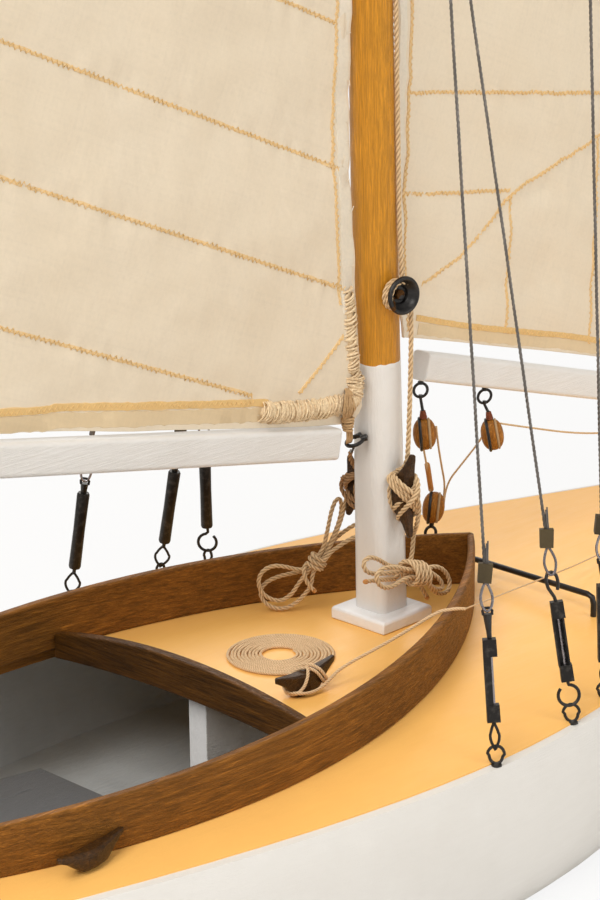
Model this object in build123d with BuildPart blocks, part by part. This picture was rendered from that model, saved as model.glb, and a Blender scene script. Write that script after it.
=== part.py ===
"""Scale model of a daysailer: a small keeled sloop with a self-tending jib.

Millimetres.  +X is forward, +Y is port, +Z is up.  The origin is on the
waterline, below the centre of the mast's foot.
"""
from math import hypot, sqrt
import os
from build123d import *

os.makedirs("parts", exist_ok=True)

# Hull: one row per station, bow last.
# x, half breadth of the deck, height of the deck's middle under its paint,
# a point of the side (y, z) and the height of the bottom on the centre line
freeboard = 58.0            # height of the deck's crown at the mast
crown = 5.3                 # rise of the deck over its edge at crown_half
crown_half = 87.5
proud = 0.4                 # the deck stands above the rim by this
STATIONS = [
    (-310.0, 30.0, 56.02, 24.0, 36.0, 24.0),
    (-250.0, 50.0, 56.03, 43.0, 18.0, -2.0),
    (-150.0, 77.5, 57.16, 69.0, 2.0, -26.0),
    (-50.0, 90.0, 57.61, 81.0, 0.0, -36.0),
    (50.0, 76.3, 57.53, 65.0, -2.0, -34.0),
    (150.0, 35.0, 57.25, 26.5, 4.0, -22.0),
    (215.0, 12.0, 58.1, 8.6, 14.0, -4.0),
    (246.0, 2.4, 59.3, 2.2, 34.0, 18.0),
]
rim_width = 2.5             # hull's bare edge round the deck
deck_thickness = 2.4
wall = 4.0
sole_height = 11.0          # flat inside bottom of the hollow
well_aft, well_front = -240.0, 40.0

# Cockpit coaming: two boards bent to arcs that meet in a point forward
coaming_board = 3.0
coaming_tip_x = 39.9        # inner point on the centre line
coaming_wide_x = -110.0
coaming_wide_y = 59.3
coaming_end_x = -232.0
coaming_arc_aft = 237.9     # radius of the aft part
coaming_top = freeboard + 15.9
coaming_slope = 0.023       # top edge falls aft
skirt = 9.0                 # depth the blanks reach below the deck

# Spars
rake = 0.026                # mast leans aft per mm of height
mast_dia, head_dia = 14.0, 8.0
foot_top = freeboard + 82.5
mast_head = freeboard + 760.0
plate_side, plate_thickness = 22.0, 4.0
foot_side = 12.4
boom_front_x, boom_front_z = -16.0, freeboard + 60.2
boom_rise = 0.196
boom_length = 280.0
boom_height, boom_width = 9.5, 7.0
jib_boom_aft = (14.3, freeboard + 77.7)
jib_boom_front_x = 230.4
jib_boom_fall = 0.287
jib_boom_height, jib_boom_width = 9.0, 7.0

# Sails
cloth = 0.8
luff_gap = 2.2              # from the mast's aft face to the luff
tack_height = freeboard + 69.0
head_height = freeboard + 738.0

# Standing rigging: wire, deck point and point on the mast, starboard side
wire_dia = 1.3
hounds = freeboard + 560.0
SHROUDS = [
    # name, deck x, deck y, height at the mast
    ("aft", -49.7, 88.3, hounds),
    ("lower", -13.6, 85.6, freeboard + 368.0),
    ("cap", 5.3, 82.8, mast_head - 14.0),
]
spreader_height = freeboard + 385.0
spreader_reach = 72.5
turnbuckle_top = 47.0       # along the wire from the deck
channel_from, channel_to = 11.0, 33.0
channel_width = 3.6
stay_x, stay_z = 239.0, freeboard + 4.0

# Keel and rudder
keel_thickness = 8.0
keel_bottom = -105.0
ballast_depth = 20.0
ballast_thickness = 13.0
stock_x = -262.0
stock_dia = 5.0
stock_clear = 0.06
tiller_under = 73.5

seat = 0.3                  # gap where curved pieces meet


def crown_at(half):
    """Rise of the deck's middle over its edge where it is 2 * half wide."""
    return crown * (half / crown_half) ** 2


# The same rows with the height of the deck's edge in the third place
HULL = [
    (x, half, middle - crown_at(half), *below) for x, half, middle, *below in STATIONS
]


def circle_through(a, b, c):
    """Centre and radius of the circle through three points."""
    (ax, ay), (bx, by), (cx, cy) = a, b, c
    d = 2 * (ax * (by - cy) + bx * (cy - ay) + cx * (ay - by))
    ux = ((ax**2 + ay**2) * (by - cy) + (bx**2 + by**2) * (cy - ay)
          + (cx**2 + cy**2) * (ay - by)) / d
    uy = ((ax**2 + ay**2) * (cx - bx) + (bx**2 + by**2) * (ax - cx)
          + (cx**2 + cy**2) * (bx - ax)) / d
    return ux, uy, hypot(ax - ux, ay - uy)


def breadth_at(x, z):
    """Half breadth of the hull's outside at station x and height z."""
    rows = sorted(HULL)
    for low, high in zip(rows, rows[1:]):
        if low[0] <= x <= high[0]:
            break
    out = []
    for row in (low, high):
        ux, uy, r = circle_through((row[1], row[2]), (row[3], row[4]), (0, row[5]))
        out.append(ux + sqrt(max(r * r - (z - uy) ** 2, 0.0)))
    t = (x - low[0]) / (high[0] - low[0])
    return out[0] * (1 - t) + out[1] * t


def across(x):
    """Plane across the hull at x, with its own x to port and y up."""
    return Plane(origin=(x, 0, 0), x_dir=(0, 1, 0), z_dir=(1, 0, 0))


def mast_x(z):
    return -rake * (z - freeboard)


def save(piece, name):
    piece.part.label = name
    export_step(piece.part, f"parts/{name}.step")


# Hull and deck
with BuildPart() as hull_form:
    for x, half, edge, side_y, side_z, bottom in HULL:
        with BuildSketch(across(x)):
            with BuildLine():
                ThreePointArc((-half, edge), (-side_y, side_z), (0, bottom))
                ThreePointArc((0, bottom), (side_y, side_z), (half, edge))
                ThreePointArc((half, edge), (0, edge + crown_at(half)), (-half, edge))
            make_face()
    loft()


def under_deck_top(depth):
    """Solid of the given depth below the deck's top, inside the rim."""
    last = len(HULL) - 1
    with BuildPart() as form:
        for i, (x, half, edge, _, _, _) in enumerate(HULL):
            x += rim_width if i == 0 else -2 * rim_width if i == last else 0
            reach = half - rim_width if i < last else 1.2
            top = edge + crown_at(half) + proud
            side = top - crown_at(reach)
            with BuildSketch(across(x)):
                with BuildLine():
                    ThreePointArc((-reach, side), (0, top), (reach, side))
                    Line((reach, side), (reach, side - depth))
                    ThreePointArc((reach, side - depth), (0, top - depth), (-reach, side - depth))
                    Line((-reach, side - depth), (-reach, side))
                make_face()
        loft()
    return form.part


deck_form = under_deck_top(deck_thickness + proud)
below_deck = under_deck_top(24.0)   # trims what stands on the deck

# Plan of the hollow inside the coaming
wide = coaming_wide_y
turn = coaming_tip_x - coaming_wide_x
coaming_arc_front = (turn**2 + wide**2) / (2 * wide)


def coaming_half(x):
    """Half breadth inside the coaming at x."""
    r = coaming_arc_front if x > coaming_wide_x else coaming_arc_aft
    return wide - r + sqrt(r * r - (x - coaming_wide_x) ** 2)


mid_front = (coaming_tip_x + coaming_wide_x) / 2
mid_aft = (coaming_end_x + coaming_wide_x) / 2
end_half = coaming_half(coaming_end_x)

rail_x = -80.0
rail_board = 3.5

with BuildPart() as opening:
    with BuildSketch(Plane.XY.offset(freeboard - 25)):
        with BuildLine():
            Polyline((rail_x, -coaming_half(rail_x)), (rail_x, coaming_half(rail_x)))
            ThreePointArc(
                (rail_x, coaming_half(rail_x)),
                ((rail_x + coaming_wide_x) / 2, coaming_half((rail_x + coaming_wide_x) / 2)),
                (coaming_wide_x, wide),
            )
            ThreePointArc(
                (coaming_wide_x, wide), (mid_aft, coaming_half(mid_aft)),
                (coaming_end_x, end_half),
            )
            Line((coaming_end_x, end_half), (coaming_end_x, -end_half))
            ThreePointArc(
                (coaming_end_x, -end_half), (mid_aft, -coaming_half(mid_aft)),
                (coaming_wide_x, -wide),
            )
            ThreePointArc(
                (coaming_wide_x, -wide),
                ((rail_x + coaming_wide_x) / 2, -coaming_half((rail_x + coaming_wide_x) / 2)),
                (rail_x, -coaming_half(rail_x)),
            )
        make_face()
    extrude(amount=50)

with BuildPart() as well:
    for x in (well_aft, -150.0, -50.0, well_front):
        top_z = freeboard - 8
        mid_z = (top_z + sole_height) / 2
        half_top, half_mid, half_sole = (
            breadth_at(x, z) - wall for z in (top_z, mid_z, sole_height)
        )
        with BuildSketch(across(x)):
            with BuildLine():
                ThreePointArc((half_sole, sole_height), (half_mid, mid_z), (half_top, top_z))
                Polyline(
                    (half_top, top_z), (half_top, freeboard + 8),
                    (-half_top, freeboard + 8), (-half_top, top_z),
                )
                ThreePointArc(
                    (-half_top, top_z), (-half_mid, mid_z), (-half_sole, sole_height))
                Line((-half_sole, sole_height), (half_sole, sole_height))
            make_face()
    loft()

with BuildPart() as hull:
    add(hull_form.part)
    add(deck_form, mode=Mode.SUBTRACT)
    add(well.part, mode=Mode.SUBTRACT)
    with Locations((stock_x, 0, 20)):
        Cylinder(stock_dia / 2 + stock_clear, 120, mode=Mode.SUBTRACT)
save(hull, "hull")

with BuildPart() as deck:
    add(deck_form)
    add(opening.part, mode=Mode.SUBTRACT)
    with Locations((stock_x, 0, 60)):
        Cylinder(stock_dia / 2 + stock_clear, 40, mode=Mode.SUBTRACT)
save(deck, "deck")

# Coaming boards, trimmed to the deck below and to a sloping line above
with BuildPart() as top_line:
    with BuildSketch(Plane.XZ.offset(-100)):
        with BuildLine():
            Polyline(
                (coaming_end_x - 20, freeboard - skirt),
                (coaming_tip_x + 20, freeboard - skirt),
                (coaming_tip_x + 20, coaming_top + coaming_slope * (coaming_tip_x + 20)),
                (coaming_end_x - 20, coaming_top + coaming_slope * (coaming_end_x - 20)),
                close=True,
            )
        make_face()
    extrude(amount=200)

for side, name in ((1, "coaming_port"), (-1, "coaming_starboard")):
    with BuildPart() as board:
        with BuildSketch(Plane.XY.offset(freeboard - skirt)):
            with BuildLine():
                ThreePointArc(
                    (coaming_end_x, side * end_half), (mid_aft, side * coaming_half(mid_aft)),
                    (coaming_wide_x, side * wide),
                )
                ThreePointArc(
                    (coaming_wide_x, side * wide), (mid_front, side * coaming_half(mid_front)),
                    (coaming_tip_x, 0),
                )
                Line((coaming_tip_x, 0), (coaming_tip_x + coaming_board, 0))
                ThreePointArc(
                    (coaming_tip_x + coaming_board, 0),
                    (mid_front + coaming_board * 0.25,
                     side * (coaming_half(mid_front) + coaming_board * 1.02)),
                    (coaming_wide_x, side * (wide + coaming_board)),
                )
                ThreePointArc(
                    (coaming_wide_x, side * (wide + coaming_board)),
                    (mid_aft - coaming_board * 0.2,
                     side * (coaming_half(mid_aft) + coaming_board * 0.96)),
                    (coaming_end_x, side * (end_half + coaming_board * 1.15)),
                )
                Line(
                    (coaming_end_x, side * (end_half + coaming_board * 1.15)),
                    (coaming_end_x, side * end_half),
                )
            make_face()
        extrude(amount=40)
        add(top_line.part, mode=Mode.INTERSECT)
        add(below_deck, mode=Mode.SUBTRACT)
    save(board, name)

with BuildPart() as coaming_end:
    with Locations((coaming_end_x - coaming_board / 2, 0, freeboard)):
        Box(coaming_board, 2 * (end_half + coaming_board), 30)
    add(top_line.part, mode=Mode.INTERSECT)
    add(below_deck, mode=Mode.SUBTRACT)
save(coaming_end, "coaming_end_board")

# Arched rail on the aft edge of the foredeck, between the coaming boards
rail_top, rail_top_end = freeboard + 9.9, freeboard + 3.2
rail_low = freeboard - 1.3
rail_half = coaming_half(rail_x) - 0.2
with BuildPart() as cross_rail:
    with BuildSketch(across(rail_x - rail_board)):
        with BuildLine():
            ThreePointArc((-rail_half, rail_top_end), (0, rail_top), (rail_half, rail_top_end))
            Line((rail_half, rail_top_end), (rail_half, rail_low - 3.4))
            ThreePointArc((rail_half, rail_low - 3.4), (0, rail_low), (-rail_half, rail_low - 3.4))
            Line((-rail_half, rail_low - 3.4), (-rail_half, rail_top_end))
        make_face()
    extrude(amount=rail_board)
save(cross_rail, "cross_rail")

web_x, web_thickness, web_length = -78.5, 7.4, 70.0
with BuildPart() as centre_web:
    with Locations((web_x + web_length / 2, 0, (sole_height + freeboard - 1) / 2)):
        Box(web_length, web_thickness, freeboard - 1 - sole_height)
    add(deck_form, mode=Mode.SUBTRACT)
save(centre_web, "centre_web")

# Floorboards: four boards on bearers
floor_top, floor_board = 22.0, 2.5
floor_front, floor_front_half = -94.0, 53.0
floor_wide_x, floor_wide = -135.0, 62.0
floor_aft, floor_aft_half = -226.0, 30.0
with BuildPart() as floorboards:
    with BuildSketch(Plane.XY.offset(floor_top - floor_board)):
        with BuildLine():
            Polyline(
                (floor_front, floor_front_half), (floor_wide_x, floor_wide),
                (floor_aft, floor_aft_half), (floor_aft, -floor_aft_half),
                (floor_wide_x, -floor_wide), (floor_front, -floor_front_half), close=True,
            )
        make_face()
        for y in (-44, -26.4, -8.8, 8.8, 26.4, 44):
            with Locations((-160, y)):
                Rectangle(110, 0.5, mode=Mode.SUBTRACT)
    extrude(amount=floor_board)
    with BuildSketch(Plane.XY.offset(sole_height)):
        for x in (floor_front - 14, (floor_front + floor_aft) / 2, floor_aft + 14):
            with Locations((x, 0)):
                Rectangle(5, 56)
    extrude(amount=floor_top - floor_board - sole_height)
save(floorboards, "floorboards")

# Mast: a white squared foot on its plate, a round timber above
with BuildPart() as base_plate:
    with Locations((0, 0, freeboard + plate_thickness / 2)):
        Box(plate_side, plate_side, plate_thickness)
    chamfer(base_plate.edges().group_by(Axis.Z)[-1], 0.6)
    add(below_deck, mode=Mode.SUBTRACT)
save(base_plate, "mast_base_plate")

plate_top = freeboard + plate_thickness
with BuildPart() as mast_foot:
    with BuildSketch(Plane.XY.offset(plate_top)):
        with Locations((mast_x(plate_top), 0)):
            RectangleRounded(foot_side, foot_side, 2.4)
    with BuildSketch(Plane.XY.offset(foot_top)):
        with Locations((mast_x(foot_top), 0)):
            RectangleRounded(mast_dia - 0.2, mast_dia - 0.2, mast_dia / 2 - 0.6)
    loft()
save(mast_foot, "mast_foot")

with BuildPart() as mast:
    with BuildSketch(Plane.XY.offset(foot_top)):
        with Locations((mast_x(foot_top), 0)):
            Circle(mast_dia / 2)
    with BuildSketch(Plane.XY.offset(mast_head)):
        with Locations((mast_x(mast_head), 0)):
            Circle(head_dia / 2)
    loft()
    fillet(mast.edges().group_by(Axis.Z)[-1], 1.5)
save(mast, "mast")


def foot_half(z):
    t = (z - plate_top) / (foot_top - plate_top)
    return (foot_side + (mast_dia - 0.2 - foot_side) * t) / 2


def mast_radius(z):
    t = (z - foot_top) / (mast_head - foot_top)
    return mast_dia / 2 + (head_dia - mast_dia) / 2 * t


# Halyard fairlead on the starboard side: a flanged cup with a peg
lead_z = freeboard + 104.5
lead_x = mast_x(lead_z)
lead_dia, lead_neck, lead_length, lead_flange = 10.0, 7.4, 5.0, 1.2
lead_face = -(mast_radius(lead_z) + seat)
with BuildPart() as fairlead:
    with BuildSketch(Plane(origin=(lead_x, lead_face, lead_z), z_dir=(0, -1, 0))):
        Circle(lead_neck / 2)
    extrude(amount=lead_length)
    with BuildSketch(Plane(origin=(lead_x, lead_face - lead_length + lead_flange, lead_z),
                           z_dir=(0, -1, 0))):
        Circle(lead_dia / 2)
    extrude(amount=lead_flange)
    with BuildSketch(Plane(origin=(lead_x, lead_face, lead_z), z_dir=(0, -1, 0))):
        Circle(lead_dia / 2)
    extrude(amount=lead_flange)
    with BuildSketch(Plane(origin=(lead_x, lead_face - 1.0, lead_z), z_dir=(0, -1, 0))):
        Circle(2.6)
        Circle(1.5, mode=Mode.SUBTRACT)
    extrude(amount=lead_length, mode=Mode.SUBTRACT)
save(fairlead, "halyard_fairlead")

# Cleats: name, middle of the base, direction of the horns, way out, length, height
CLEATS = [
    ("mast_cleat_starboard", (0.0, -foot_half(foot_top - 30) - 0.1, freeboard + 42.0),
     (0, 0, 1), (0, -1, 0), 25.0, 6.5),
    ("mast_cleat_port", (-1.6, foot_half(foot_top - 30) + 0.1, freeboard + 40.5),
     (0, 0, 1), (0, 1, 0), 19.0, 6.0),
    ("deck_cleat", (-58.5, -24.0, freeboard - 0.6), (1, 0, 0), (0, 0, 1), 27.0, 9.0),
    ("coaming_cleat_starboard", (-171.0, -58.8, freeboard - 2.4),
     (0.97, -0.24, 0), (0, 0, 1), 26.0, 8.5),
    ("coaming_cleat_port", (-171.0, 58.8, freeboard - 2.4),
     (0.97, 0.24, 0), (0, 0, 1), 26.0, 8.5),
]
for name, base, along, out, length, height in CLEATS:
    horn = 2.6
    frame = Plane(origin=base, x_dir=along, z_dir=Vector(*along).cross(Vector(*out)))
    with BuildPart() as cleat:
        with BuildSketch(frame):
            with BuildLine():
                Polyline(
                    (-length * 0.17, 0), (-length * 0.13, height - horn),
                    (-length / 2, height - horn * 0.25), (-length / 2 + 0.6, height),
                    (0, height - horn * 0.1), (length / 2 - 0.6, height),
                    (length / 2, height - horn * 0.25), (length * 0.13, height - horn),
                    (length * 0.17, 0), close=True,
                )
            make_face()
        extrude(amount=1.9, both=True)
        add(below_deck, mode=Mode.SUBTRACT)
    save(cleat, name)


def rod(a, b, dia):
    """Round rod from a to b."""
    direction = Vector(*b) - Vector(*a)
    with BuildPart() as piece:
        with BuildSketch(Plane(origin=a, z_dir=direction)):
            Circle(dia / 2)
        extrude(amount=direction.length)
    return piece.part


def on_line(a, b, distance):
    way = (Vector(*b) - Vector(*a)).normalized()
    return tuple(Vector(*a) + way * distance)


# Shrouds with their channel turnbuckles
for deck_name, x, y, height in SHROUDS:
    radius = mast_radius(height) + 2 * seat
    for side, side_name in ((1, "port"), (-1, "starboard")):
        edge_z = freeboard - crown_at(y)
        eye = (x, side * y, edge_z + 2.2)
        at_mast = (mast_x(height), side * radius, height)
        if deck_name == "cap":
            tip = (mast_x(spreader_height), side * spreader_reach, spreader_height)
            aim = tip
        else:
            aim = at_mast
        with BuildPart() as turnbuckle:
            with BuildSketch(Plane(origin=(x, side * y, edge_z - 1.2))):
                Circle(0.9)
            extrude(amount=3.0)
            with Locations(Plane(origin=eye, z_dir=(1, 0, 0))):
                Torus(2.1, 0.7)
            add(rod(on_line(eye, aim, 1.6), on_line(eye, aim, turnbuckle_top), 1.5))
            way = (Vector(*aim) - Vector(*eye)).normalized()
            with BuildSketch(Plane(origin=on_line(eye, aim, channel_from),
                                   x_dir=(1, 0, 0), z_dir=way)):
                Rectangle(channel_width, channel_width)
            extrude(amount=channel_to - channel_from)
            with BuildSketch(Plane(origin=on_line(eye, aim, turnbuckle_top - 6), z_dir=way)):
                Circle(1.5)
            extrude(amount=6)
            add(hull.part, mode=Mode.SUBTRACT)
            add(deck.part, mode=Mode.SUBTRACT)
        save(turnbuckle, f"turnbuckle_{deck_name}_{side_name}")
        with BuildPart() as shroud:
            start = on_line(eye, aim, turnbuckle_top)
            if deck_name == "cap":
                with BuildLine() as run:
                    Polyline(start, tip, at_mast)
                with BuildSketch(Plane(origin=start, z_dir=run.line % 0)):
                    Circle(wire_dia / 2)
                sweep(path=run.line, transition=Transition.ROUND)
            else:
                add(rod(start, at_mast, wire_dia))
        save(shroud, f"shroud_{deck_name}_{side_name}")

# Spreaders: round arms, seated on the mast, stopping at the cap shroud
for side, side_name in ((1, "port"), (-1, "starboard")):
    root_y = side * (mast_radius(spreader_height) + seat)
    tip_y = side * (spreader_reach - wire_dia / 2 - seat)
    with BuildPart() as spreader:
        with BuildSketch(Plane(origin=(mast_x(spreader_height), root_y, spreader_height),
                               z_dir=(0, side, 0))):
            Circle(2.2)
        with BuildSketch(Plane(origin=(mast_x(spreader_height), tip_y, spreader_height),
                               z_dir=(0, side, 0))):
            Circle(1.5)
        loft()
    save(spreader, f"spreader_{side_name}")

# Forestay and its plate at the stem
stay_top_x = mast_x(hounds) + mast_radius(hounds) + 2 * seat
with BuildPart() as forestay:
    add(rod((stay_x, 0, stay_z + 2.1), (stay_top_x, 0, hounds), wire_dia))
save(forestay, "forestay")

bow_plate = (222.0, 245.0, 4.4)
with BuildPart() as bow_fitting:
    with Locations(((bow_plate[0] + bow_plate[1]) / 2, 0, freeboard + 1.2)):
        Box(bow_plate[1] - bow_plate[0], bow_plate[2], 2.4)
    with Locations((stay_x, 0, stay_z - 1.5)):
        Cylinder(1.6, 6)
    add(below_deck, mode=Mode.SUBTRACT)
    add(hull.part, mode=Mode.SUBTRACT)
save(bow_fitting, "bow_fitting")

# Traveller: a bent rod across the deck, in front of the coaming's point
horse_x, horse_half, horse_z, horse_dia = 48.0, 44.6, freeboard + 5.0, 1.2
horse_foot = freeboard - crown_at(horse_half) - 1.0
with BuildPart() as traveller:
    with BuildLine() as bend:
        FilletPolyline(
            (horse_x, -horse_half, horse_foot), (horse_x, -horse_half, horse_z),
            (horse_x, horse_half, horse_z), (horse_x, horse_half, horse_foot), radius=2.5,
        )
    with BuildSketch(Plane(origin=(horse_x, -horse_half, horse_foot), z_dir=(0, 0, 1))):
        Circle(horse_dia / 2)
    sweep(path=bend.line)
    add(below_deck, mode=Mode.SUBTRACT)
save(traveller, "traveller")


def block(centre, height, width, thick):
    """Rounded wooden shell of a sheet block."""
    with BuildPart() as piece:
        with BuildSketch(Plane(origin=centre, x_dir=(1, 0, 0), z_dir=(0, -1, 0))):
            Ellipse(width / 2, height / 2)
        extrude(amount=thick / 2, both=True)
    return piece.part


jib_block_size = (8.6, 6.4, 5.0)
with BuildPart() as traveller_block:
    add(block((horse_x, 21.5, horse_z + 13.4), 10.4, 6.9, 5.0))
    with Locations(Plane(origin=(horse_x, 21.5, horse_z + 3.8), z_dir=(0, -1, 0))):
        Torus(2.2, 0.7)
    with Locations((horse_x, 21.5, horse_z + 7.4)):
        Cylinder(0.7, 3.6)
save(traveller_block, "traveller_block")

# Gooseneck: a screw eye in the mast's aft side
eye_z = freeboard + 60.4
with BuildPart() as gooseneck:
    with Locations(Plane(origin=(mast_x(eye_z) - mast_dia / 2 - 4.0, 0, eye_z),
                         z_dir=(0, 1, 0))):
        Torus(2.1, 0.6)
    add(rod((mast_x(eye_z) - mast_dia / 2 - 2.2, 0, eye_z),
            (mast_x(eye_z) - foot_half(eye_z) - 0.2, 0, eye_z), 1.3))
save(gooseneck, "gooseneck_eye")

# Main boom and mainsail
boom_way = Vector(-1, 0, boom_rise).normalized()
boom_start = Vector(boom_front_x, 0, boom_front_z)
with BuildPart() as main_boom:
    with BuildSketch(Plane(origin=boom_start, x_dir=(0, 1, 0), z_dir=boom_way)):
        RectangleRounded(boom_width, boom_height, 1.4)
    extrude(amount=boom_length)
save(main_boom, "main_boom")


def luff_x(z):
    return mast_x(z) - mast_radius(z) - luff_gap


def boom_top(x):
    return boom_front_z + boom_rise * (boom_front_x - x) + boom_height / 2 * sqrt(
        1 + boom_rise**2) + seat


clew_x = boom_front_x - boom_length * 0.955
with BuildPart() as mainsail:
    with BuildSketch(Plane.XZ):
        with BuildLine():
            Polyline(
                (luff_x(tack_height), tack_height), (luff_x(head_height), head_height),
                (luff_x(head_height) - 5, head_height), (clew_x, boom_top(clew_x) + 0.4),
                (boom_front_x - 6, boom_top(boom_front_x - 6) + 0.4), close=True,
            )
        make_face()
    extrude(amount=cloth / 2, both=True)
save(mainsail, "mainsail")

# Jib boom, its blocks and the jib
jib_way = Vector(1, 0, -jib_boom_fall).normalized()
jib_start = Vector(jib_boom_aft[0], 0, jib_boom_aft[1])
jib_boom_length = (jib_boom_front_x - jib_boom_aft[0]) * sqrt(1 + jib_boom_fall**2)
with BuildPart() as jib_boom:
    with BuildSketch(Plane(origin=jib_start, x_dir=(0, 1, 0), z_dir=jib_way)):
        RectangleRounded(jib_boom_width, jib_boom_height, 1.4)
    extrude(amount=jib_boom_length)
save(jib_boom, "jib_boom")


def jib_boom_z(x, over):
    """Height of the jib boom's middle line at x, plus over square to it."""
    return (jib_boom_aft[1] - jib_boom_fall * (x - jib_boom_aft[0])
            + over * sqrt(1 + jib_boom_fall**2))


for name, x in (("jib_block_aft", 20.5), ("jib_block_forward", 52.0)):
    height, width, thick = jib_block_size
    under = jib_boom_z(x, -jib_boom_height / 2)
    with BuildPart() as sheet_block:
        add(block((x, 0, under - 5.0 - height / 2 + 0.6), height, width, thick))
        with Locations((x, 0, under - 2.9)):
            Cylinder(0.8, 5.4)
        add(jib_boom.part, mode=Mode.SUBTRACT)
    save(sheet_block, name)


def stay_x_at(z):
    t = (z - stay_z - 1.5) / (hounds - stay_z - 1.5)
    return stay_x + (stay_top_x - stay_x) * t


luff_hank = 1.1             # from the stay's middle to the jib's luff
jib_head = freeboard + 536.0
jib_foot_over = jib_boom_height / 2 + seat + 0.6
with BuildPart() as jib:
    with BuildSketch(Plane.XZ):
        with BuildLine():
            tack_x = jib_boom_front_x - 3.0
            tack_z = jib_boom_z(tack_x, jib_foot_over)
            Polyline(
                (16.0, jib_boom_z(16.0, jib_foot_over)), (tack_x, tack_z),
                (stay_x_at(tack_z + 6) - luff_hank, tack_z + 6),
                (stay_x_at(jib_head) - luff_hank, jib_head),
                (stay_x_at(jib_head) - luff_hank - 4, jib_head), close=True,
            )
        make_face()
    extrude(amount=cloth / 2, both=True)
save(jib, "jib")

# Keel, ballast, rudder and tiller
with BuildPart() as keel:
    with BuildSketch(Plane.XZ):
        with BuildLine():
            Polyline(
                (118, -5), (92, -38), (40, -84), (10, keel_bottom + ballast_depth),
                (-172, keel_bottom + ballast_depth), (-206, -14), (-206, 2), (-100, 0),
                close=True,
            )
        make_face()
    extrude(amount=keel_thickness / 2, both=True)
    add(hull_form.part, mode=Mode.SUBTRACT)
save(keel, "keel")

with BuildPart() as ballast:
    with BuildSketch(Plane.XZ):
        with BuildLine():
            Polyline(
                (10, keel_bottom + ballast_depth), (-16, keel_bottom), (-164, keel_bottom),
                (-172, keel_bottom + ballast_depth), close=True,
            )
        make_face()
    extrude(amount=ballast_thickness / 2, both=True)
    fillet(ballast.edges().filter_by(Axis.X), 3.0)
save(ballast, "ballast_keel")

rudder_top, rudder_bottom = -9.0, -78.0
with BuildPart() as rudder:
    with BuildSketch(Plane.XZ):
        with BuildLine():
            Polyline(
                (stock_x + 4, rudder_top), (stock_x + 4, rudder_bottom + 6),
                (stock_x - 4, rudder_bottom), (stock_x - 30, rudder_bottom + 8),
                (stock_x - 34, rudder_bottom + 26), (stock_x - 22, rudder_top), close=True,
            )
        make_face()
    extrude(amount=2.6, both=True)
    with BuildSketch(Plane.XY.offset(rudder_top - 30)):
        with Locations((stock_x, 0)):
            Circle(stock_dia / 2)
    extrude(amount=tiller_under - rudder_top + 30)
save(rudder, "rudder")

with BuildPart() as tiller:
    with BuildSketch(across(stock_x - 6)):
        with Locations((0, tiller_under + 3.0)):
            Rectangle(5.0, 6.0)
    with BuildSketch(across(stock_x + 6)):
        with Locations((0, tiller_under + 3.0)):
            Rectangle(5.0, 6.0)
    loft()
    with BuildSketch(across(stock_x + 6)):
        with Locations((0, tiller_under + 3.0)):
            Rectangle(5.0, 6.0)
    with BuildSketch(across(stock_x + 80)):
        with Locations((0, tiller_under + 5.4)):
            Rectangle(3.4, 3.6)
    loft()
save(tiller, "tiller")

# Cordage: the outer shape of each coil or hank
with BuildPart() as deck_coil:
    with BuildSketch(Plane.XY.offset(freeboard + 0.1)):
        with Locations((-44.0, 0.5)):
            Circle(17.0)
            Circle(6.0, mode=Mode.SUBTRACT)
    extrude(amount=1.3)
save(deck_coil, "deck_coil")

with BuildPart() as foot_hank:
    add(rod((-9.5, -10.5, freeboard + 12.0), (11.5, -11.4, freeboard + 10.6), 8.2))
save(foot_hank, "mast_foot_hank")

with BuildPart() as port_hank:
    add(rod((-7.0, 18.0, freeboard + 13.0), (-18.5, 29.5, freeboard + 3.2), 8.4))
save(port_hank, "port_halyard_hank")
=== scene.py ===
import math

import bmesh
import bpy
from mathutils import Matrix, Vector, noise


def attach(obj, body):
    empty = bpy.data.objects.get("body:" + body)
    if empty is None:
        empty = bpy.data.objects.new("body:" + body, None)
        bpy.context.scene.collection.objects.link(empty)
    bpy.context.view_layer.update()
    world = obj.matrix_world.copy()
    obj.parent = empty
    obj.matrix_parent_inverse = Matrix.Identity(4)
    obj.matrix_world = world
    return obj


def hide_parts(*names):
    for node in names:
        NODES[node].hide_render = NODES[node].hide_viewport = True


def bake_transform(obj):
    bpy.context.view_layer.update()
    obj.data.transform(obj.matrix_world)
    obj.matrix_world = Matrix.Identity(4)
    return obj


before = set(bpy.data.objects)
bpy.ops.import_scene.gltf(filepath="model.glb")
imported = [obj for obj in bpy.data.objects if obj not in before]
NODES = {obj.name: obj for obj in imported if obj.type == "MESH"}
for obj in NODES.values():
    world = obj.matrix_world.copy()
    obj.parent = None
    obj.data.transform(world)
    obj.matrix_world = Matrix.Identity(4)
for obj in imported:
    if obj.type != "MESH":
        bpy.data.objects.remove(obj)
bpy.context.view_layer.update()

bl_info = {
    "name": "Model daysailer",
    "version": (1, 0, 0),
    "blender": (4, 5, 0),
    "location": "3D View > Sidebar > Daysailer",
    "description": "Dresses the packed model daysailer: paint, varnish, cotton sails, cordage and wire",
    "category": "Object",
}

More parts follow.
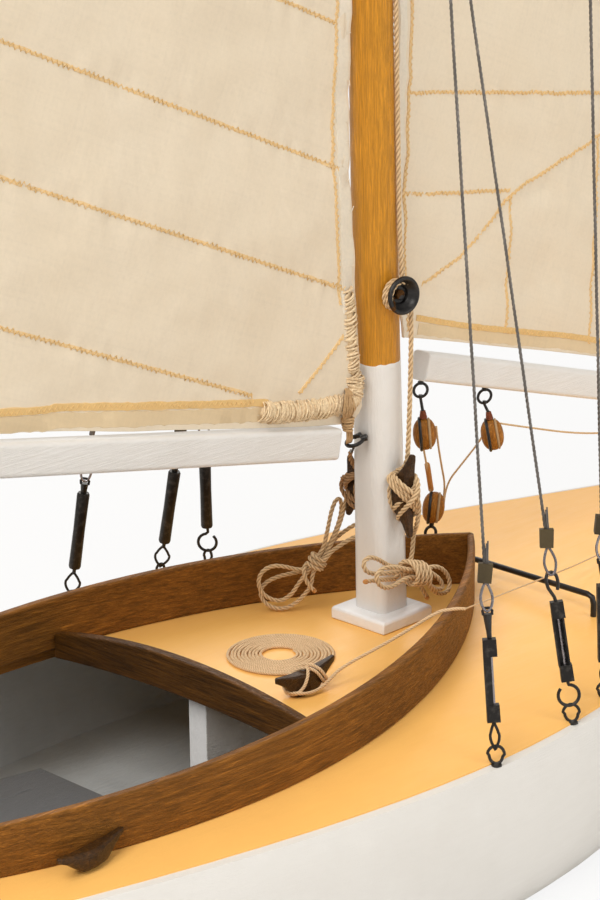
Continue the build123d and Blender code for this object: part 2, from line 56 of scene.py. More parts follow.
# Sizes and places in mm, with z over the waterline; slopes and shares are plain numbers
MM = 0.001
DECK = 58.0            # deck's crown at the mast
RAKE = 0.026           # the mast leans aft by this per mm of height
PAINT_EDGE = 140.5     # where the mast's white foot ends
MAST_FOOT_RADIUS, MAST_TAPER, MAST_LENGTH = 7.0, 3.0, 677.5
BOOM_RISE = 0.196      # the main boom rises aft
JIB_RISE = 0.287       # the jib boom rises aft
MAIN_SEAM_SLOPE = 0.418
JIB_SEAM_SLOPE, MITRE_SLOPE, MITRE_LEVEL = 0.134, 0.27, 165.5
MAIN_CLEW, MAIN_PEAK = (-283.4, 176.4), (-30.5, 796.0)
JIB_CLEW, JIB_PEAK = (7.6, 145.9), (-4.2, 594.0)
STAY_FOOT, STAY_RUN, STAY_HEIGHT = (239.0, 63.5), 248.07, 554.5
DECK_FALL, HALF_BEAM = 5.3, 87.5
GRIME = (0.45, 0.40, 0.33)
PICTURE_RIGHT = Vector((0.7005, -0.7136, 0.0))


# Properties
class DAYSAILER_PG_finish(bpy.types.PropertyGroup):
    """Colours of paint, varnish, cloth and cord."""

    def _colour(name, text, value):
        return bpy.props.FloatVectorProperty(
            name=name, description=text, subtype="COLOR", size=3, min=0, max=1, default=value)

    topsides: _colour("Topsides", "White paint of the hull and the deck's bare edge", (0.78, 0.765, 0.74))
    deck: _colour("Deck", "Ochre paint of the deck", (1.0, 0.56, 0.155))
    cabin: _colour("Inside", "Grey-white paint inside the hull", (0.61, 0.645, 0.665))
    floor: _colour("Floorboards", "Dark grey paint of the floorboards", (0.20, 0.205, 0.215))
    spar: _colour("Painted spars", "White paint of the booms and the mast's foot", (0.80, 0.785, 0.765))
    mast: _colour("Mast", "Varnished timber of the mast", (0.74, 0.32, 0.025))
    coaming: _colour("Coaming", "Dark varnish of the coaming and rail", (0.385, 0.152, 0.022))
    sail: _colour("Sails", "Unbleached cotton", (0.80, 0.695, 0.545))
    thread: _colour("Thread", "Golden sewing thread", (0.84, 0.57, 0.25))
    cord: _colour("Cord", "Tan laid cord", (0.68, 0.50, 0.30))
    metal: _colour("Black metal", "Blackened eyes, rings and rods", (0.012, 0.011, 0.011))


class DAYSAILER_PG_sizes(bpy.types.PropertyGroup):
    """Sizes of thread, cord and wire."""

    def _length(name, text, value):
        return bpy.props.FloatProperty(name=name, description=text, default=value, unit="LENGTH")

    halyard: _length("Halyard", "Diameter of the laid halyard", 0.00158)
    coil_cord: _length("Deck coil cord", "Diameter of the cord in the flat coil", 0.00105)
    wire: _length("Wire", "Diameter of the stranded stays", 0.00102)
    thread: _length("Thread", "Radius of the sewing thread", 0.00017)
    stitch: _length("Stitch", "Length of one zigzag stitch along the seam", 0.00095)
    seam: _length("Seam width", "Width of the zigzag across the seam", 0.00125)


def finish_of():
    return bpy.context.scene.daysailer_finish


def sizes_of():
    return bpy.context.scene.daysailer_sizes


# Shader helpers
def feed(tree, socket, value):
    """Links a socket to another one, or sets its value; a colour may be given without alpha."""
    if isinstance(value, bpy.types.NodeSocket):
        tree.links.new(value, socket)
    elif hasattr(socket.default_value, "__len__") and len(value) == 3 and len(socket.default_value) == 4:
        socket.default_value = (*value, 1.0)
    else:
        socket.default_value = value


def put(tree, kind, inputs=None, **props):
    """A node with its properties and inputs set; an input may be a socket."""
    node = tree.nodes.new(kind)
    for key, value in props.items():
        setattr(node, key, value)
    for key, value in (inputs or {}).items():
        feed(tree, node.inputs[key], value)
    return node


def tint(colour, factor):
    """A colour times one factor, or times one for each channel."""
    factors = factor if hasattr(factor, "__len__") else (factor,) * 3
    return [min(c * f, 1.0) for c, f in zip(colour, factors)]


def between(a, b, share):
    return [x * (1 - share) + y * share for x, y in zip(a, b)]


def ramp(tree, value, *stops):
    """Colour ramp over a value; stops are (position, colour)."""
    node = put(tree, "ShaderNodeValToRGB", {"Fac": value})
    while len(node.color_ramp.elements) < len(stops):
        node.color_ramp.elements.new(0.5)
    for element, (position, colour) in zip(node.color_ramp.elements, stops):
        element.position = position
        element.color = (*colour, 1.0)
    return node.outputs["Color"]


def mix(tree, factor, a, b):
    return put(tree, "ShaderNodeMix", {0: factor, 6: a, 7: b}, data_type="RGBA").outputs[2]


def maths(tree, operation, a, b=0.0, clamp=False):
    return put(tree, "ShaderNodeMath", {0: a, 1: b}, operation=operation, use_clamp=clamp).outputs[0]


def times(tree, a, b):
    return maths(tree, "MULTIPLY", a, b)


def plus(tree, a, b):
    return maths(tree, "ADD", a, b)


def vectors(tree, operation, a, b):
    return put(tree, "ShaderNodeVectorMath", {0: a, 1: b}, operation=operation).outputs[0]


def cloud(tree, vector, scale, detail, rough=0.5, bend=0.0, output="Fac"):
    return put(tree, "ShaderNodeTexNoise", {"Vector": vector, "Scale": scale, "Detail": detail, "Roughness": rough,
                                            "Distortion": bend}).outputs[output]


def spread(tree, value, low, high):
    return put(tree, "ShaderNodeMapRange", {"Value": value, "From Min": low, "From Max": high}).outputs["Result"]


def mottle_nodes(tree, take):
    """Soft uneven value over the surface, from object coordinates."""
    return {"Value": spread(tree, cloud(tree, take["Vector"], take["Scale"], take["Detail"], 0.6), take["Low"],
                            take["High"])}


def grain_nodes(tree, take):
    """Wood grain drawn out along one axis of the vector given to it."""
    drawn = vectors(tree, "MULTIPLY", take["Vector"], take["Stretch"])
    figure = spread(tree, cloud(tree, drawn, take["Scale"], 5.0, 0.62, 0.5), 0.3, 0.7)
    fine = vectors(tree, "MULTIPLY", drawn, (1.0, 3.2, 3.2))
    pores = spread(tree, cloud(tree, fine, take["Scale"], 3.0, 0.7), 0.42, 0.62)
    return {"Figure": figure, "Pores": pores, "Height": plus(tree, times(tree, figure, 0.5), pores)}


def weave_nodes(tree, take):
    """Plain weave: height and a thread-to-thread shade from two crossed waves."""
    waver = cloud(tree, take["Vector"], 220.0, 2.0, output="Color")
    offset = vectors(tree, "MULTIPLY", waver, (0.0007, 0.0007, 0.0007))
    parts = put(tree, "ShaderNodeSeparateXYZ", {0: vectors(tree, "ADD", take["Vector"], offset)}).outputs
    warp, weft = [maths(tree, "SINE", times(tree, parts[axis], take["Threads"])) for axis in ("X", "Y")]
    slubs = [cloud(tree, vectors(tree, "MULTIPLY", take["Vector"], stretch), 1.0, 3.0)
             for stretch in ((30.0, 900.0, 1.0), (900.0, 30.0, 1.0))]
    return {"Height": times(tree, plus(tree, times(tree, warp, weft), 1.0), 0.5),
            "Shade": times(tree, plus(tree, *slubs), 0.5)}


GROUPS = {
    "Mottle": (mottle_nodes, {"Vector": None, "Scale": 60.0, "Detail": 4.0, "Low": 0.35, "High": 0.65}),
    "Wood grain": (grain_nodes, {"Vector": None, "Stretch": (1.0, 12.0, 12.0), "Scale": 60.0}),
    "Plain weave": (weave_nodes, {"Vector": None, "Threads": 2000.0}),
}


def shared(tree, name, **inputs):
    """Places one of the shared node groups in a material; it is built when first asked for."""
    group = bpy.data.node_groups.get(name)
    if not group:
        build, sockets = GROUPS[name]
        group = bpy.data.node_groups.new(name, "ShaderNodeTree")
        for label, value in sockets.items():
            kind = "NodeSocketFloat" if isinstance(value, float) else "NodeSocketVector"
            socket = group.interface.new_socket(name=label, in_out="INPUT", socket_type=kind)
            if value is not None:
                socket.default_value = value
        found = build(group, put(group, "NodeGroupInput").outputs)
        for label in found:
            group.interface.new_socket(name=label, in_out="OUTPUT", socket_type="NodeSocketFloat")
        put(group, "NodeGroupOutput", found)
    return put(tree, "ShaderNodeGroup", inputs, node_tree=group).outputs


def mottle(tree, place, scale, detail, low, high):
    return shared(tree, "Mottle", Vector=place, Scale=scale, Detail=detail, Low=low, High=high)["Value"]


def material(name):
    """New material: (material, tree, principled shader, object coordinates)."""
    made = bpy.data.materials.new(name)
    made.use_nodes = True
    tree = made.node_tree
    return made, tree, tree.nodes["Principled BSDF"], put(tree, "ShaderNodeTexCoord").outputs["Object"]


def wire_up(tree, shader, colour, rough, height=None, strength=0.3, distance=0.0003, plain=None):
    """Connects colour, roughness and bump, and sets plain values on the shader."""
    feed(tree, shader.inputs["Base Color"], colour)
    feed(tree, shader.inputs["Roughness"], rough)
    if height is not None:
        bump = put(tree, "ShaderNodeBump", {"Strength": strength, "Distance": distance, "Height": height})
        tree.links.new(bump.outputs["Normal"], shader.inputs["Normal"])
    for key, value in (plain or {}).items():
        shader.inputs[key].default_value = value


def paint_finish(name, colour, dirt=GRIME, amount=0.12, rough=0.42, brush=(1.0, 8.0, 8.0), bump=0.25):
    """Brushed paint on wood: faint brush marks, soft stains and uneven gloss."""
    made, tree, shader, place = material(name)
    marks = shared(tree, "Wood grain", Vector=place, Stretch=brush, Scale=70.0)
    base = mix(tree, times(tree, mottle(tree, place, 38.0, 6.0, 0.42, 0.78), amount), colour, dirt)
    base = mix(tree, times(tree, marks["Figure"], 0.10), base, tint(colour, 0.82))
    gloss = plus(tree, times(tree, marks["Figure"], 0.12), rough - 0.05)
    wire_up(tree, shader, base, gloss, marks["Height"], bump, 0.00022, {"Specular IOR Level": 0.3})
    return made


def varnish_finish(name, dark, light, stretch, rough, scale, bump, coat):
    """Varnished timber with drawn-out figure and open pores."""
    made, tree, shader, place = material(name)
    wood = shared(tree, "Wood grain", Vector=place, Stretch=stretch, Scale=scale)
    base = ramp(tree, wood["Figure"], (0.0, dark), (0.55, between(dark, light, 0.5)), (1.0, light))
    pits = times(tree, maths(tree, "SUBTRACT", 1.0, wood["Pores"], True), 0.45)
    base = mix(tree, pits, base, tint(dark, 0.45))
    base = mix(tree, times(tree, mottle(tree, place, 30.0, 3.0, 0.35, 0.7), 0.35), base, tint(dark, 0.7))
    gloss = plus(tree, times(tree, wood["Pores"], -0.15), rough + 0.15)
    wire_up(tree, shader, base, gloss, wood["Height"], bump, 0.00025,
            {"Coat Weight": coat, "Coat Roughness": 0.3, "Specular IOR Level": 0.15})
    return made


def metal_finish(name, colour, rough, metallic, wear, amount=0.25):
    """Metal rubbed brighter here and there."""
    made, tree, shader, place = material(name)
    rub = mottle(tree, place, 420.0, 5.0, 0.5, 0.75)
    base = mix(tree, times(tree, rub, amount), colour, wear)
    gloss = plus(tree, times(tree, rub, 0.25), rough)
    wire_up(tree, shader, base, gloss, rub, 0.2, 0.00008, {"Metallic": metallic})
    return made


def cloth_finish(name, colour, threads, amount):
    """Plain-woven cotton seen across the boat: weave, slubs, and soft darker, warmer blotches that are partly stains
    and partly painted shade of soft folds.
    """
    made, tree, shader, place = material(name)
    parts = put(tree, "ShaderNodeSeparateXYZ", {0: place}).outputs
    flat = put(tree, "ShaderNodeCombineXYZ", {0: parts["X"], 1: parts["Z"], 2: parts["Y"]})
    turned = put(tree, "ShaderNodeMapping", {"Vector": flat.outputs[0], "Rotation": (0.0, 0.0, 0.38)})
    weave = shared(tree, "Plain weave", Vector=turned.outputs[0], Threads=threads)
    # partly stains and partly painted shade: soft darker, warmer blotches over the cloth
    stain_and_fold_shade = times(tree, mottle(tree, place, 26.0, 5.0, 0.34, 0.72), amount)
    base = mix(tree, stain_and_fold_shade, colour, tint(colour, (0.90, 0.84, 0.74)))
    fleck = times(tree, mottle(tree, place, 900.0, 2.0, 0.35, 0.75), amount * 0.7)
    base = mix(tree, fleck, base, tint(colour, 0.78))
    slubs = maths(tree, "MULTIPLY", maths(tree, "SUBTRACT", weave["Shade"], 0.5), 0.9, True)
    base = mix(tree, slubs, base, tint(colour, 0.72))
    height = plus(tree, times(tree, weave["Height"], 0.6), weave["Shade"])
    wire_up(tree, shader, base, 0.92, height, 0.35, 0.00012, {"Sheen Weight": 0.15, "Specular IOR Level": 0.15})
    return made


def cord_finish(name, colour, amount, lay_shade=0.0):
    """Twisted fibre: uneven colour from thread to thread, painted shade in the grooves between the strands, and a dull
    surface.
    """
    made, tree, shader, place = material(name)
    fleck = mottle(tree, place, 1300.0, 4.0, 0.32, 0.68)
    base = mix(tree, times(tree, fleck, amount), tint(colour, 1.12), tint(colour, (0.55, 0.45, 0.35)))
    slow = mottle(tree, place, 120.0, 3.0, 0.3, 0.7)
    base = mix(tree, times(tree, slow, amount * 0.5), base, tint(colour, 1.3))
    # painted shade: the grooves between the strands are darkened towards deep brown, by the attribute that laid()
    # writes
    if lay_shade:
        unshaded_ridge = put(tree, "ShaderNodeAttribute", attribute_name="unshaded_ridge").outputs["Fac"]
        deep = times(tree, maths(tree, "SUBTRACT", 1.0, unshaded_ridge, True), lay_shade)
        base = mix(tree, deep, base, tint(colour, (0.30, 0.20, 0.12)))
    wire_up(tree, shader, base, 0.85, fleck, 0.5, 0.00008, {"Specular IOR Level": 0.2})
    return made


def finish_rows(look):
    """Every finish under its key: the function that makes it, and what that is given."""
    spar, mast, coaming, sail, thread, cord = look.spar, look.mast, look.coaming, look.sail, look.thread, look.cord
    paint, varnish, metal, cloth, rope = paint_finish, varnish_finish, metal_finish, cloth_finish, cord_finish
    return {
        "topsides": (paint, "Topsides paint", look.topsides, GRIME, 0.10, 0.40, (1.0, 6.0, 10.0), 0.18),
        "deck": (paint, "Deck paint", look.deck, (0.80, 0.40, 0.12), 0.20, 0.38, (1.0, 5.0, 5.0), 0.12),
        "inside": (paint, "Inside paint", look.cabin, (0.2, 0.2, 0.2), 0.25, 0.6, (1.0, 4.0, 4.0), 0.5),
        # the web's side faces: the spar paint a little darker, mottled heavily towards grey, under a strong rough bump
        "rough": (paint, "Rough paint", tint(spar, 0.95), (0.2, 0.2, 0.21), 0.6, 0.35, (9.0, 9.0, 9.0), 1.0),
        "floor": (paint, "Floorboard paint", look.floor, (0.16, 0.16, 0.16), 0.4, 0.55, (1.0, 9.0, 9.0), 0.6),
        "spar": (paint, "Spar paint", spar, GRIME, 0.16, 0.36, (1.0, 7.0, 7.0), 0.35),
        "mast foot": (paint, "Mast foot paint", spar, GRIME, 0.16, 0.34, (7.0, 7.0, 1.0), 0.35),
        # painted light: the spar's white paint made brighter and bluer, to lift the web's aft face out of its shade
        # and to cancel the deck's yellow bounce light on the mast's base plate
        "bright paint": (paint, "Bright paint", tint(spar, (1.12, 1.15, 1.2)), GRIME, 0.14, 0.34, (3.0, 3.0, 1.0),
                         0.4),
        "crimp": (paint, "Painted crimp", (0.045, 0.032, 0.014), (0.15, 0.11, 0.05), 0.5, 0.5, (3.0, 3.0, 3.0), 0.3),
        "ballast": (paint, "Ballast paint", look.topsides, (0.30, 0.29, 0.27), 0.2, 0.5),
        "mast": (varnish, "Mast varnish", tint(mast, 0.70), tint(mast, 1.20), (30.0, 30.0, 1.0), 0.26, 46.0, 0.35,
                 0.22),
        "coaming": (varnish, "Coaming varnish", tint(coaming, 0.42), tint(coaming, 1.45), (1.0, 9.0, 22.0), 0.42, 60.0,
                    0.8, 0.06),
        # the coaming's varnish made much darker, which is partly painted shade of the rail's shaded faces
        "rail": (varnish, "Rail varnish", tint(coaming, 0.13), tint(coaming, 0.62), (14.0, 1.0, 22.0), 0.45, 60.0, 0.8,
                 0.05),
        "cleat": (varnish, "Cleat varnish", tint(coaming, 0.07), tint(coaming, 0.36), (6.0, 6.0, 6.0), 0.30, 120.0,
                  0.8, 0.3),
        "block": (varnish, "Block wood", (0.26, 0.09, 0.012), (0.66, 0.27, 0.035), (10.0, 10.0, 1.5), 0.35, 150.0, 0.5,
                  0.15),
        "black": (metal, "Black metal", look.metal, 0.34, 0.25, (0.10, 0.085, 0.07)),
        "dull steel": (metal, "Dull steel", (0.020, 0.018, 0.017), 0.38, 0.6, (0.22, 0.20, 0.18), 0.30),
        "bright steel": (metal, "Bright steel wire", (0.30, 0.28, 0.30), 0.25, 0.95, (0.6, 0.58, 0.6), 0.4),
        "wire": (metal, "Stay wire", (0.17, 0.157, 0.147), 0.36, 0.75, (0.5, 0.46, 0.42), 0.4),
        "sail": (cloth, "Sail cotton", sail, 1500.0, 0.26),
        "tape": (cloth, "Twill tape", tint(sail, (1.03, 1.09, 1.18)), 3000.0, 0.6),
        "gold": (cloth, "Golden hem", tint(thread, 0.95), 4200.0, 0.5),
        "tabling": (cloth, "Foot tabling", tint(sail, (0.93, 0.85, 0.70)), 1500.0, 0.30),
        "seam": (cloth, "Seam thread bed", between(thread, sail, 0.3), 4200.0, 0.35),
        "thread": (rope, "Sewing thread", thread, 0.30),
        "overcast": (rope, "Overcast thread", between(thread, sail, 0.65), 0.85),
        # the last number of the four cords below is the strength of the painted shade in the grooves between their
        # strands
        "cord": (rope, "Laid cord", cord, 0.30, 0.95),
        "coil cord": (rope, "Coil cord", tint(cord, (1.10, 1.09, 1.12)), 0.25, 1.0),
        "brown cord": (rope, "Brown cord", tint(cord, (0.62, 0.5, 0.42)), 0.35, 0.9),
        "plain cord": (rope, "Sheet cord", cord, 0.2, 0.5),
        "seizing": (rope, "Red-brown seizing", (0.20, 0.06, 0.03), 0.4),
        "lashing": (rope, "Tack lashing", tint(cord, (0.75, 0.68, 0.60)), 0.6),
        "cut end": (rope, "Cut cord end", (0.50, 0.24, 0.08), 0.3),
    }


_made = {}


def finish(key):
    """The named finish, built when it is first asked for."""
    if key not in _made:
        maker, *given = finish_rows(finish_of())[key]
        _made[key] = maker(*given)
    return _made[key]


def dress(node, key):
    """Gives a CAD node its finish."""
    item = NODES[node]
    item.data.materials.clear()
    item.data.materials.append(finish(key))


# Mesh helpers
def mm(points):
    return [Vector(p) * MM for p in points]


def angles(count):
    """Even angles of one full turn."""
    return [2 * math.pi * k / count for k in range(count)]


def finish_piece(name, data, body, slot, *stands_for, mats=(), smooth=None):
    """Puts a mesh in the scene as a piece, riding on a body or on none."""
    if smooth:
        data.set_sharp_from_angle(angle=math.radians(smooth))
    piece = bpy.data.objects.new(name, data)
    bpy.context.scene.collection.objects.link(piece)
    for key in mats:
        data.materials.append(finish(key))
    if stands_for:
        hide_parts(*stands_for)
    if body:
        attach(piece, body)
    return piece


def piece_of(name, bm, body, slot, *stands_for, mats=(), smooth=35.0):
    """Turns a bmesh into a finished piece: smooth but for its sharp edges."""
    bmesh.ops.recalc_face_normals(bm, faces=bm.faces)
    data = bpy.data.meshes.new(name)
    for face in bm.faces:
        face.smooth = True
    bm.to_mesh(data)
    bm.free()
    return finish_piece(name, data, body, slot, *stands_for, mats=mats, smooth=smooth)


def bevelled(piece, width, segments=2, angle=35.0):
    """Softens the piece's edges by a width in mm."""
    soft = piece.modifiers.new("Softened edges", "BEVEL")
    soft.width = width * MM
    soft.segments = segments
    soft.limit_method = "ANGLE"
    soft.angle_limit = math.radians(angle)
    soft.harden_normals = False
    return piece


def copy_of(node):
    """The CAD node's mesh with its loose triangles merged, as a bmesh in metres."""
    bm = bmesh.new()
    bm.from_mesh(NODES[node].data)
    bmesh.ops.remove_doubles(bm, verts=bm.verts, dist=1e-6)
    bmesh.ops.dissolve_limit(bm, angle_limit=math.radians(0.3), verts=bm.verts, edges=bm.edges)
    return bm


def split_copy(node, test):
    """A copy of a node, and its faces that pass the test, which get the second finish."""
    bm = copy_of(node)
    bmesh.ops.recalc_face_normals(bm, faces=bm.faces)
    for face in bm.faces:
        face.material_index = int(test(face.normal, face.calc_center_median()))
    return bm, [face for face in bm.faces if face.material_index]


SLOTS = {"mast": "mast_wood", "mast foot": "spar_paint", "bright paint": "spar_paint", "spar": "spar_paint",
         "coaming": "varnished_wood", "rail": "varnished_wood", "topsides": "hull_paint", "inside": "hull_paint",
         "floor": "floor_paint"}


def skin(node, key, width, segments=2, angle=35.0, body="boat", bm=None):
    """A painted or varnished copy of a node with softened edges, which stands for it."""
    piece = piece_of(node + "_skin", copy_of(node) if bm is None else bm, body, SLOTS[key], node, mats=(key,))
    return bevelled(piece, width, segments, angle)


def frames_along(points):
    """Tangent, normal and binormal at each point, turned as little as possible."""
    last = len(points) - 1
    tangents = [(points[min(i + 1, last)] - points[max(i - 1, 0)]).normalized() for i in range(len(points))]
    start = Vector((0, 0, 1)) if abs(tangents[0].z) < 0.8 else Vector((1, 0, 0))
    normal = (start - tangents[0] * start.dot(tangents[0])).normalized()
    out = []
    for i, tangent in enumerate(tangents):
        if i:
            normal = tangents[i - 1].rotation_difference(tangent) @ normal
            normal = (normal - tangent * normal.dot(tangent)).normalized()
        out.append((tangent, normal, tangent.cross(normal)))
    return out


def bridge(bm, rings, closed=False):
    """Joins each ring of vertices to the next; caps both ends unless the run is closed."""
    count = len(rings[0])
    faces = []
    for a, b in zip(rings, rings[1:] + rings[:1] if closed else rings[1:]):
        for k in range(count):
            faces.append(bm.faces.new((a[k], a[(k + 1) % count], b[(k + 1) % count], b[k])))
    if not closed:
        bm.faces.new(list(reversed(rings[0])))
        bm.faces.new(rings[-1])
    return faces


def tube(bm, points, radius, sides=8, lobes=None, closed=False):
    """Sweeps a round section along points in metres.  radius is in metres or a list of them.
    lobes = (count, depth, pitch) twists a lobed section, as of a stranded wire."""
    rings, run = [], 0.0
    for i, (point, (_, normal, side)) in enumerate(zip(points, frames_along(points))):
        run += (point - points[i - 1]).length if i else 0.0
        r = radius[i] if isinstance(radius, (list, tuple)) else radius
        ring = []
        for angle in angles(sides):
            reach = r
            if lobes:
                reach = r * (1 - lobes[1] + lobes[1] * abs(math.cos(lobes[0] * (angle / 2))))
                angle += 2 * math.pi * run / lobes[2]
            ring.append(bm.verts.new(point + (normal * math.cos(angle) + side * math.sin(angle)) * reach))
        rings.append(ring)
    bridge(bm, rings, closed)


def bar(bm, points, radius, sides=8, **more):
    """A tube with its points and radius in mm."""
    tube(bm, mm(points), [r * MM for r in radius] if isinstance(radius, tuple) else radius * MM, sides, **more)


def hoop(bm, centre, a, b, ra, rb, thick, count, sides):
    """A ring of wire: an ellipse spanned by unit vectors a and b, all sizes in mm."""
    points = [Vector(centre) + Vector(a) * ra * math.cos(t) + Vector(b) * rb * math.sin(t) for t in angles(count)]
    bar(bm, points, thick, sides, closed=True)


def evenly(points, step):
    """The same line with points a step apart."""
    lengths = [0.0]
    for a, b in zip(points, points[1:]):
        lengths.append(lengths[-1] + (b - a).length)
    count = max(int(lengths[-1] / step + 0.5), 2)
    out, i = [], 0
    for k in range(count + 1):
        want = lengths[-1] * k / count
        while i < len(lengths) - 2 and lengths[i + 1] < want:
            i += 1
        span = lengths[i + 1] - lengths[i]
        out.append(points[i].lerp(points[i + 1], (want - lengths[i]) / span if span else 0.0))
    return out


def route(points, step):
    """Points in metres, a step (mm) apart, along the NURBS line that the control points (mm) give."""
    curve = bpy.data.curves.new("Route", "CURVE")
    curve.dimensions = "3D"
    curve.resolution_u = 12
    line = curve.splines.new("NURBS")
    line.points.add(len(points) - 1)
    for place, p in zip(line.points, mm(points)):
        place.co = (*p, 1.0)
    line.order_u = 3
    line.use_endpoint_u = True
    holder = bpy.data.objects.new("Route", curve)
    bpy.context.scene.collection.objects.link(holder)
    mesh = bpy.data.meshes.new_from_object(holder)
    found = [v.co.copy() for v in mesh.vertices]
    bpy.data.objects.remove(holder)
    bpy.data.curves.remove(curve)
    bpy.data.meshes.remove(mesh)
    return evenly(found, step * MM)


def laid(bm, points, dia, pitch, strands=3, sides=6):
    """Lays strands round the line: a rope of that diameter (metres) and pitch (metres).
    Its attribute is 1 on the strands' outer sides and 0 in the grooves between them, the mask of the painted shade
    there."""
    unshaded_ridge = bm.verts.layers.float.get("unshaded_ridge") or bm.verts.layers.float.new("unshaded_ridge")
    strand = dia * (0.252 if strands == 3 else 0.2)
    offset = dia / 2 - strand
    frames = frames_along(points)
    for s in range(strands):
        run, line = 0.0, []
        for i, (point, (_, normal, side)) in enumerate(zip(points, frames)):
            run += (point - points[i - 1]).length if i else 0.0
            angle = 2 * math.pi * (run / pitch + s / strands)
            line.append(point + (normal * math.cos(angle) + side * math.sin(angle)) * offset)
        first = len(bm.verts)
        tube(bm, line, strand, sides)
        bm.verts.ensure_lookup_table()
        for i, point in enumerate(points):
            for vert in bm.verts[first + i * sides:first + (i + 1) * sides]:
                vert[unshaded_ridge] = min(max(((vert.co - point).length / (dia / 2) - 0.45) / 0.5, 0.0), 1.0)


def lathe(bm, profile, origin, axis, segments):
    """Turns a closed profile of (radius, along) in mm round an axis."""
    axis = Vector(axis).normalized()
    side = axis.orthogonal().normalized()
    up = axis.cross(side)
    rings = []
    for angle in angles(segments):
        out = side * math.cos(angle) + up * math.sin(angle)
        rings.append([bm.verts.new((Vector(origin) + out * r + axis * h) * MM) for r, h in profile])
    bridge(bm, rings, closed=True)
    bmesh.ops.remove_doubles(bm, verts=bm.verts, dist=2e-6)


def slab(bm, centre, axes, sizes, taper=1.0):
    """A box in mm along three unit vectors, its far end along the last one tapered."""
    rings = []
    for w, k in ((-0.5, 1.0), (0.5, taper)):
        rings.append([bm.verts.new((centre + axes[0] * u * sizes[0] * k + axes[1] * v * sizes[1] * k
                                    + axes[2] * w * sizes[2]) * MM)
                      for u, v in ((-0.5, -0.5), (0.5, -0.5), (0.5, 0.5), (-0.5, 0.5))])
    bridge(bm, rings)


class Shaper:
    """Collects the shapes of one piece, each in its own finish."""

    def __init__(self, key):
        self.bm, self.keys, self.index, self.done = bmesh.new(), [key], 0, 0

    def close(self):
        self.bm.faces.ensure_lookup_table()
        for face in self.bm.faces[self.done:]:
            face.material_index = self.index
        self.done = len(self.bm.faces)

    def use(self, key):
        """Everything added from here on has this finish."""
        self.close()
        if key not in self.keys:
            self.keys.append(key)
        self.index = self.keys.index(key)
        return self.bm

    def piece(self, name, body, slot, *stands_for, smooth=40.0):
        self.close()
        return piece_of(name, self.bm, body, slot, *stands_for, mats=self.keys, smooth=smooth)


def mast_x(z):
    """The mast's middle at a height."""
    return -RAKE * (z - DECK)


def mast_radius(z):
    return MAST_FOOT_RADIUS - MAST_TAPER * (z - PAINT_EDGE) / MAST_LENGTH


def deck_top(y):
    return DECK - DECK_FALL * (y / HALF_BEAM) ** 2


def luff_x(z):
    """The mainsail's fore edge at a height."""
    return mast_x(z) - mast_radius(z) - 2.2


def leech_x(z):
    """The straight line from the mainsail's clew to its peak, at a height."""
    share = (z - MAIN_CLEW[1]) / (MAIN_PEAK[1] - MAIN_CLEW[1])
    return MAIN_CLEW[0] + share * (MAIN_PEAK[0] - MAIN_CLEW[0])


def stay_x(z):
    """The forestay at a height."""
    return STAY_FOOT[0] - STAY_RUN * (z - STAY_FOOT[1]) / STAY_HEIGHT


# Operators
def is_cut_edge(normal, middle):
    """The deck's cut edge round the cockpit's opening."""
    inward = normal.y * middle.y < -1e-7 or abs(normal.x) > 0.7
    return inward and abs(normal.z) < 0.5 and abs(middle.y) < 0.078 and -0.25 < middle.x < 0.15


def is_inside(normal, middle):
    """The hull's faces inside the cockpit."""
    x, y, z = middle
    floor = normal.z > 0.6 and z < 0.045
    ends = -0.245 < x < 0.045 and abs(normal.x) > 0.7 and z > 0.008 and abs(y) < 0.075
    return (normal.y * y < -1e-7 or floor or ends) and -0.246 < x < 0.046 and z > 0.005


class DAYSAILER_OT_hull(bpy.types.Operator):
    """Paint the hull, deck, cockpit and underwater parts"""

    bl_idname = "daysailer.hull"
    bl_label = "Hull and deck"

    def execute(self, context):
        for node, key in (("keel", "topsides"), ("ballast_keel", "ballast"), ("rudder", "topsides"),
                          ("tiller", "coaming")):
            dress(node, key)
        bm, cut = split_copy("deck", is_cut_edge)
        shifts = {}
        for face in cut:
            for vert in face.verts:
                shifts.setdefault(vert, face.normal.copy())
        for vert, normal in shifts.items():
            vert.co -= Vector((normal.x, normal.y, 0.0)).normalized() * 1.1 * MM
        piece_of("deck_skin", bm, "boat", "deck_paint", "deck", mats=("deck", "coaming"), smooth=25)
        bm, _ = split_copy("hull", is_inside)
        piece_of("hull_skin", bm, "boat", "hull_paint", "hull", mats=("topsides", "inside"), smooth=30)
        skin("floorboards", "floor", 0.35)
        # the web's faces other than its sides get the spar paint made brighter and bluer: painted light that lifts
        # them out of their shade
        bm, _ = split_copy("centre_web", lambda normal, middle: abs(normal.y) > 0.7)
        bevelled(piece_of("centre_web_skin", bm, "boat", "spar_paint", "centre_web", mats=("bright paint", "rough")),
                 0.4, 3)
        # the end board and cross rail take the rail varnish, much darker than the coaming's and partly painted shade
        for node, key, width in (("coaming_port", "coaming", 0.75), ("coaming_starboard", "coaming", 0.75),
                                 ("coaming_end_board", "rail", 0.6), ("cross_rail", "rail", 0.6)):
            skin(node, key, width, 3, 30)
        return {"FINISHED"}


